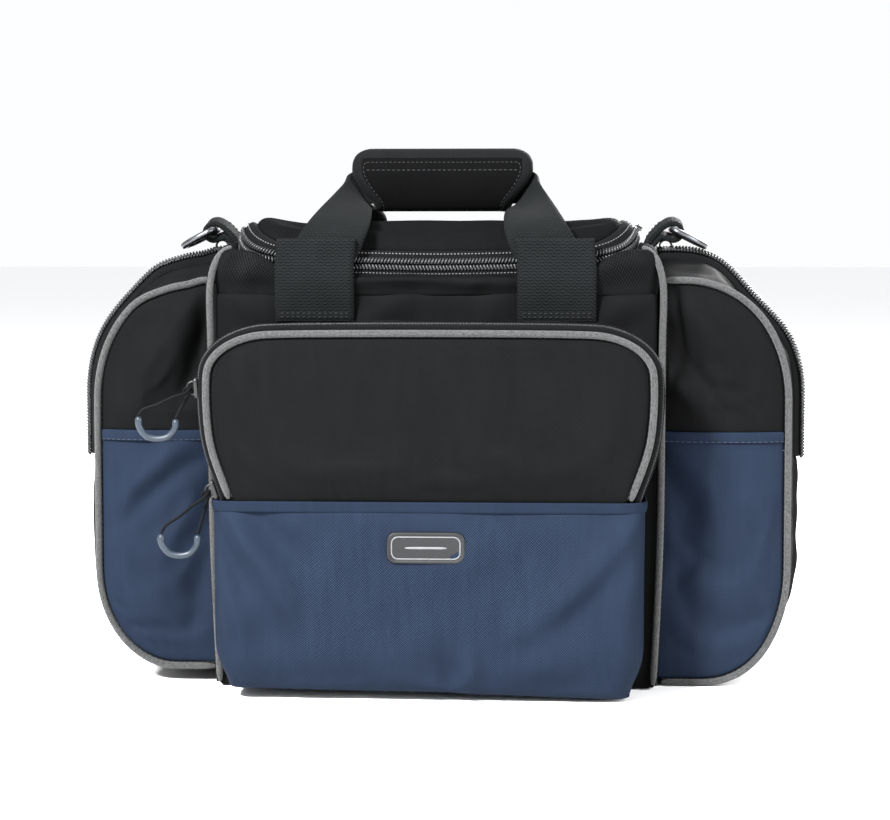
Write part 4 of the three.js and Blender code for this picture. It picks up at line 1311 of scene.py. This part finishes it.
def handle(name, sign):
    body = f"{name}_handle"
    y0 = 87.2
    leg = [
        (99, 262, 55, 262, y0), (97, 272, 53, 272, y0), (92, 281, 48, 281, y0 - 0.2),
        (88.6, 288.1, 45.6, 287.8, y0 - 1.6), (85.4, 293.2, 44, 292.6, y0 - 5.2),
        (81.8, 299.0, 43, 297.1, 75), (76.8, 306.9, 43, 303.4, 58), (70.6, 316.4, 45, 307.4, 34),
        (64.4, 326.4, 48.6, 309.6, 14), (61.3, 332.6, 50.8, 311.8, 3.8), (52, 333.6, 44, 312, 3),
        (25, 334, 25, 312, 3),
    ]
    full = [(-ox, oz, -ix, iz, y) for ox, oz, ix, iz, y in leg]
    pivot = ("bag", (0, sign * y0, 266.5), (0, sign * y0, 279))
    strap(f"{name}_handle_strap", full + leg[::-1], body, [f"{name}_handle_webbing"], pivot, sign)
    # the sewn ends: webbing doubled over the foot of each leg, folded under at its top and ribbed
    # below by the rows of stitching that hold it down
    for side, s in SIDES:
        rows, columns = 60, 15
        z = np.concatenate([np.linspace(235.6, 286.4, rows - 6), np.full(6, 287.4)])
        z = z[:, None] * np.ones((1, columns))
        x = s * 77 + np.linspace(-WEBBING / 2, WEBBING / 2, columns)[None, :] * np.ones((rows, 1))
        slant = smooth((z - 270) / 17)
        x = x - s * 1.2 * slant
        rib = 0.34 * np.sin(z * 2 * math.pi / 1.9) * smooth((258 - z) / 3)
        ends = 0.9 * smooth((238.4 - z) / 2.4)
        roll = 3.7 * smooth((z - 237) / 28)
        front_y = y0 + 1.35 + rib - ends + roll
        fold = np.linspace(0, 1, 7)[1:, None]
        front_y[-6:] = front_y[-7] - 5.0 * (1 - np.sqrt(1 - fold ** 2)) - 0.8 * fold
        z[-6:] = 286.4 + 2.0 * np.sin(fold * math.pi * 0.75)
        front_y += 0.25 * np.sin(x / 11 + s) * smooth((z - 255) / 20)
        front = np.stack([x, sign * front_y, z], -1)
        back = front.copy()
        back[..., 1] = sign * np.maximum(y0 - 1.4, front_y - 4.4)
        back[-6:, :, 2] -= 0.6 * fold * 3
        slab(f"{name}_sewn_strap_{side}", front, back, body, [f"{name}_strap_{side}"], pivot)
        for k, height in enumerate((238.6, 241.0)):
            far = y0 + 1.75 + 3.7 * float(smooth((height - 237) / 28))
            line = [(s * 77 - 22.4, sign * far, height), (s * 77 + 22.4, sign * far, height)]
            stitches(f"{name}_sewn_hem_{side}_{k}", line, (0, sign, 0), BLACK_THREAD, "bag",
                     2.2, 1.2, 0.5, slot="webbing")


def grip(name, sign):
    """Half of the padded wrap round both handles, bound along its ends and its top edge."""
    body = f"{name}_handle"
    bottom, top, half, deep = 306.6, 348.4, 60.2, 14.0
    middle = (bottom + top) / 2
    core_low, core_high = 309.8, 335.2

    def taper(z):
        below = 0.25 * np.clip((middle + 5 - z) / 20, 0, 1) ** 1.3
        return 1 - below - 0.05 * np.clip((z - middle - 12) / 9, 0, 1) ** 2

    rounding = 0.82  # the share of its half length at which each end starts to round off
    xs = np.concatenate([np.linspace(-1, -rounding, 9), np.linspace(-0.77, 0.77, 25),
                         np.linspace(rounding, 1, 9)])
    rings = []
    for s in xs:
        end = max(0.0, (abs(s) - rounding) / 0.18)
        inset = 9.0 * (1 - math.sqrt(max(0.0, 1 - end ** 2.2)))
        lo, hi = bottom + inset * 0.22, top - inset
        rz, ry = (hi - lo) / 2, deep - inset * 0.5
        cz = (hi + lo) / 2
        ring = []
        for a in np.radians(np.linspace(90, -90, 19)):
            c, d = math.cos(a), math.sin(a)
            y = ry * (abs(c) ** 0.72)
            z = cz + rz * math.copysign(abs(d) ** 0.86, d)
            ring.append((y, z))
        for y, z in ((0, core_low), (7.2, core_low), (7.2, core_high), (0, core_high)):
            ring.append((y, z))
        rings.append([(s * half * taper(z), sign * (y + 0.15), z) for y, z in ring])
    p = np.array(rings)
    # stitching pulls the cloth in along the binding and along one row below it
    quilted = 334.0
    z, y = p[..., 2], p[..., 1] * sign
    dent = 0.55 * np.exp(-((z - 343.2) / 1.1) ** 2) + 0.45 * np.exp(-((z - quilted) / 1.1) ** 2)
    dent[:, 19:] = 0
    p[..., 1] -= sign * dent
    wave = ripple(p[..., 0], z, 71, 34, 0.7)
    wave[:, 19:] = 0
    p[..., 1] += sign * wave * np.clip(y / 10, 0, 1)
    far = distances(p[20])
    uv = np.stack([np.broadcast_to(p[:, :1, 0], z.shape), np.broadcast_to(far, z.shape)], -1)
    count = p.shape[1]
    faces = grid_faces(len(p), count, True)
    points = p.reshape(-1, 3)
    for k, flip in ((0, True), (len(p) - 1, False)):
        middle_point = len(points)
        points = np.vstack([points, points[k * count:(k + 1) * count].mean(0)])
        for j in range(count):
            a, b = k * count + j, k * count + (j + 1) % count
            faces.append((b, a, middle_point) if flip else (a, b, middle_point))
    uv = np.vstack([uv.reshape(-1, 2), [[0, 0], [0, 0]]])
    piece = solid(f"{name}_grip_pad", points, faces, PAD, uv)
    thicken(piece, 0, 1)
    place(piece, body, [f"{name}_grip"], "grip_pad")
    # a flat binding folded over both ends and the top edge, stitched down along its inner side
    normal = unit(np.cross(np.gradient(p, axis=0), np.gradient(p, axis=1)))
    normal *= np.where((normal * (p - np.array([0, 0, middle]))).sum(-1, keepdims=True) < 0, -1, 1)
    raised_rim = p + normal * 0.45
    strips = (("left", raised_rim[0:6, 0:19]), ("right", raised_rim[-6:, 0:19]),
              ("top", raised_rim[4:-4, 0:6]))
    for part, strip in strips:
        cloth(f"{name}_grip_binding_{part}", strip, BINDING, body, slot="grip_pad",
              out=(0, 0, middle), thick=0.9)
    seam = np.vstack([raised_rim[6, 6:18][::-1], raised_rim[6:-6, 6], raised_rim[-7, 6:18]])
    seam = resample(catmull(seam, 3), step=2.0)
    stitches(f"{name}_grip_binding_stitches", seam, (0, sign, 0.2), BLACK_THREAD, body, 1.9, 1.1, 0.5,
             slot="grip_pad")
    line = []
    for row in p[7:-7]:
        face = row[:19]
        order = np.argsort(face[:, 2])
        line.append([np.interp(quilted, face[order, 2], face[order, 0]),
                     np.interp(quilted, face[order, 2], face[order, 1]) + sign * 0.15, quilted])
    stitches(f"{name}_grip_stitches_0", np.array(line), (0, sign, 0.2), BLACK_THREAD, body,
             2.2, 1.2, slot="grip_pad")


# ---- shoulder-strap rings -------------------------------------------------
def ring_and_tab(name, side):
    x0, z0, reach, half, lean = 153.5, 294.5, 24.0, 14.0, math.radians(27)
    outward = np.array([side * math.cos(lean), 0, -math.sin(lean)])
    bar = np.array([side * x0, 0, z0])

    def at(y, r):
        return bar + outward * r + np.array([0, y, 0])

    bow = [at(y, r) for r, y in turn_arc(7, 0, reach - 7, half, -90, 90, 16)]
    path = [at(half - 3, 0), at(4, 0), at(-4, 0), at(-half + 3, 0), at(-half, 2.8)] + bow + [at(half, 2.8)]
    wrapped = np.array([path[-1]] + path + path[:2])
    line = catmull(wrapped, 6)[6:-6]
    line = resample(line, step=1.8)[:-1]
    up = np.cross(outward, [0, 1, 0])
    sweep(f"{name}_ring_wire", line, circle(4.5, 12), METAL, f"{name}_ring", [f"{name}_d_ring"],
          "dark_metal", up=up, loop=True)
    # a doubled tab of webbing: up from the collar, over the ring's bar and down again
    points = [(134.6, 262), (134.6, 270), (135.2, 279), (137.2, 286.2), (141.6, 292.4), (147.0, 297.4),
              (152.4, 300.0), (157.0, 299.0), (159.2, 295.0), (157.8, 290.8), (153.8, 288.9),
              (149.4, 290.2), (145.4, 290.8), (142.0, 287.4), (139.4, 283.4), (138.4, 278.4),
              (138.2, 270), (138.4, 262)]
    line = catmull([(side * x, 0, z) for x, z in points], 5)
    width, thick = 9.6, 3.2
    profile = [(thick / 2 * c, width * d) for c, d in
               ((1, -0.93), (1, -0.5), (1, 0), (1, 0.5), (1, 0.93), (0.4, 1), (-0.4, 1), (-1, 0.93),
                (-1, 0.5), (-1, 0), (-1, -0.5), (-1, -0.93), (-0.4, -1), (0.4, -1))]
    sweep(f"{name}_ring_webbing", line, profile, WEB, "bag", [f"{name}_ring_tab"], "webbing",
          up=(0, 1, 0.2))
    for k, y in enumerate((-7.6, 7.6)):
        seam = catmull([(side * (x - 1.5), y, z + 1.5 + 0.2 * y) for x, z in points[3:6]], 5)
        stitches(f"{name}_tab_top_stitches_{k}", seam, (-side * 0.6, 0, 0.8), BLACK_THREAD, "bag",
                 1.8, 1.0, slot="webbing")


# ---- sliders and pulls ----------------------------------------------------
def slider(name, base, along, across, tab=None):
    """A cast slider: a waisted plate over the chain, a bridge for the pull, and maybe a small tab."""
    along, across = unit(along), unit(across)
    up = np.cross(along, across)
    basis = np.stack([along, across, up])
    base = np.asarray(base, float)
    half = [(-6.5, 2.2), (-6.1, 2.9), (-4.6, 3.3), (-2.0, 3.7), (1.0, 4.3), (4.0, 4.5), (5.8, 4.2),
            (6.5, 3.0)]
    ring = np.array(half + [(x, -y) for x, y in half[::-1]])
    levels = [(0.90, 0.1), (1.0, 0.6), (1.0, 2.2), (0.93, 2.8), (0.78, 3.0)]
    local = np.array([[(x * s, y * s, z) for x, y in ring] for s, z in levels])
    count = len(ring)
    faces = grid_faces(len(levels), count, True) + caps(len(levels), count)
    plate = solid(name + "_plate", local.reshape(-1, 3) @ basis + base, faces, ENAMEL)
    thicken(plate, 0, 1)
    place(plate, name, [name], "dark_metal")
    loop = catmull([(-3.9, 0, 1.6), (-3.9, 0, 4.2), (-2.8, 0, 6.4), (0, 0, 7.4), (2.8, 0, 6.4),
                    (3.9, 0, 4.2), (3.9, 0, 1.6)], 5)
    sweep(name + "_bridge", loop @ basis + base, [(0.75 * math.cos(a), 1.6 * math.sin(a))
          for a in np.arange(10) * math.pi / 5], ENAMEL, name, slot="dark_metal", up=across)
    if tab is not None:
        # a short moulded pull that hangs from the bridge along the chain
        path = catmull([base + np.array(q, float) @ basis for q in tab], 6)
        path = resample(path, step=0.9)
        size = np.interp(np.linspace(0, 1, len(path)), [0, 0.08, 0.3, 0.8, 0.95, 1],
                         [0.35, 0.6, 0.7, 1.0, 0.85, 0.3])
        sweep(name + "_tab", path, [(0.9 * math.cos(a), 3.0 * math.sin(a))
              for a in np.arange(14) * math.pi / 7], PLASTIC, name, slot="pull_plastic", up=across,
              scale=size)


CORD = 2.0


def pull(name, eye, tips, bottom):
    """A cord loop through the slider's eye, and the bent grip that joins its two ends."""
    eye = np.array(eye)
    left, right = (eye + [x, 0, z] for x, z in tips)
    low = eye + [bottom[0], 0, bottom[1]]

    def near(tip):
        return np.array([lerp(tip[0], low[0], 0.42), eye[1], lerp(tip[2], low[2], 0.88)])

    bend = [left, np.array([left[0] + 0.4, eye[1], lerp(left[2], low[2], 0.45)]), near(left), low,
            near(right), np.array([right[0] - 0.4, eye[1], lerp(right[2], low[2], 0.45)]), right]
    line = resample(catmull(bend, 10), step=0.9)
    n = len(line)
    share = np.abs(np.linspace(-1, 1, n))
    size = 0.94 + 0.10 * smooth((share - 0.72) / 0.1) - 0.05 * (1 - share)
    size = size * rounded_ends(n, 3)
    grip_piece = sweep(name + "_bent_grip", line, circle(4.5, 14, 0.92), PLASTIC, name,
                       [name + "_grip"], "pull_plastic", scale=size)

    def drop(tip, y, t, sag):
        return np.array([lerp(eye[0], tip[0], t), lerp(y, 0, t) + eye[1],
                         lerp(eye[2], tip[2] + 0.5, t) - sag])

    run = 3.4  # how far each run stands off the middle of the eye
    route = [drop(left, 0, 1, 0), drop(left, -run, 0.92, -2.2), drop(left, -run, 0.62, -0.5),
             drop(left, -run, 0.32, 0), drop(left, -run, 0.08, 1.6), eye + [0, -2, -0.3],
             eye + [0, 2, -0.3], drop(right, run, 0.14, 0.6), drop(right, run, 0.5, 0),
             drop(right, run, 0.82, 0), drop(right, 0, 1, 0)]
    line = resample(catmull(route, 12), step=1.6)
    curve = bpy.data.curves.new(name + "_loop", "CURVE")
    curve.dimensions = "3D"
    curve.bevel_depth = CORD / 2 * MM
    curve.bevel_resolution = 3
    curve.use_fill_caps = True
    spline = curve.splines.new("POLY")
    spline.points.add(len(line) - 1)
    for point, q in zip(spline.points, line):
        point.co = (*(q * MM), 1)
    spline.use_smooth = True
    curve.materials.append(YARN)
    cord = bpy.data.objects.new(name + "_loop", curve)
    bpy.context.scene.collection.objects.link(cord)
    place(cord, name, [name + "_cord"], "pull_cord")
    # the overhand knot where the two runs leave the eye
    a = np.arange(40) * 2 * math.pi / 40
    knot = np.stack([np.sin(a) + 1.9 * np.sin(2 * a), np.cos(a) - 1.9 * np.cos(2 * a),
                     -0.9 * np.sin(3 * a)], 1)
    lean = unit(np.array([-0.55, 0, -0.83]))
    turn = np.stack([np.array([0, 1.0, 0]), np.cross(lean, [0, 1.0, 0]), lean])
    tied = sweep(name + "_knot", (knot * [0.95, 0.95, 1.7]) @ turn + eye + lean * 3.0, circle(1.9, 10),
                 YARN, name, slot="pull_cord", loop=True)


def front_sliders():
    for name, z, tips, bottom in (
        ("upper", 196, ((-33, -18), (-9.6, -19.6)), (-21.2, -32)),
        ("lower", 134, ((-30.5, -27), (-7.4, -27.4)), (-19, -40.5)),
    ):
        # the stretch of the chain that the slider runs on, as two points in X and Z
        low, high = ((125.5, 124), (137.5, 163)) if z < 163 else ((137.5, 163), (139.5, 203))
        share = (z - low[1]) / (high[1] - low[1])
        along = unit(np.array([low[0] - high[0], 0, high[1] - low[1]]))
        up = np.cross(along, [0, 1, 0])
        base = np.array([-lerp(low[0], high[0], share), -127.0, z]) + up * 6.0
        slider(f"{name}_slider", base + up * 0.2, along, (0, 1, 0))
        pull(f"{name}_pull", base + up * 5.4, tips, bottom)


lid_and_zip()
for side_name, side_sign in SIDES:
    end_pocket(side_name, side_sign)
    ring_and_tab(side_name, side_sign)
    slider(f"{side_name}_end_slider", (side_sign * 149, 0, 280.2), (side_sign, 0, 0),
           (0, side_sign, 0), [(-1, 0, 8.2), (-4, 0, 6.8), (-7.5, 0, 5.6), (-12, 0, 5.2)])
for end_name, end_sign in (("front", -1), ("rear", 1)):
    handle(end_name, end_sign)
    grip(end_name, end_sign)
front_sliders()
slider("lid_slider", (128.3, 46, 291.9), (0, 1, 0), (-0.7071, 0, 0.7071),
       [(1, 0, 8.2), (4, 0, 6.8), (8, 0, 5.8), (13, 0, 5.6)])


# ---- floor and light ------------------------------------------------------
def stage():
    n = Nodes("floor")
    tone = n.noise(3.0, 4)
    floor_look = n.set(Base_Color=n.mix(tone, (0.90, 0.90, 0.90), (0.93, 0.93, 0.93)),
                       Roughness=n.mul(tone, 0.1, 0.7))
    far, low = 30000, -0.3
    corners = [(-far, -far, low), (far, -far, low), (far, far, low), (-far, far, low)]
    floor = build("floor", corners, [(0, 1, 2, 3)], floor_look)
    world = bpy.data.worlds.new("world")
    bpy.context.scene.world = world
    world.use_nodes = True
    sky = world.node_tree.nodes["Background"]
    sky.inputs[0].default_value = (0.98, 0.99, 1.0, 1)
    sky.inputs[1].default_value = 1.0
    bpy.context.scene.view_settings.view_transform = "Standard"
    for name, where, energy, size in (
        ("key", (-1.1, -1.8, 1.7), 430, 0.5),
        ("fill", (2.0, -1.3, 0.9), 120, 1.2),
        ("top", (0.2, 0.7, 2.0), 24, 1.2),
        ("back", (0.9, 2.3, 1.2), 120, 1.0),
    ):
        data = bpy.data.lights.new(name, "AREA")
        data.energy = energy
        data.size = size
        light = bpy.data.objects.new(name, data)
        light.location = where
        aim = Vector((0, 0, 0.16)) - Vector(where)
        light.rotation_euler = aim.to_track_quat("-Z", "Y").to_euler()
        bpy.context.scene.collection.objects.link(light)


stage()
simulate()
for work in finishing:
    work()
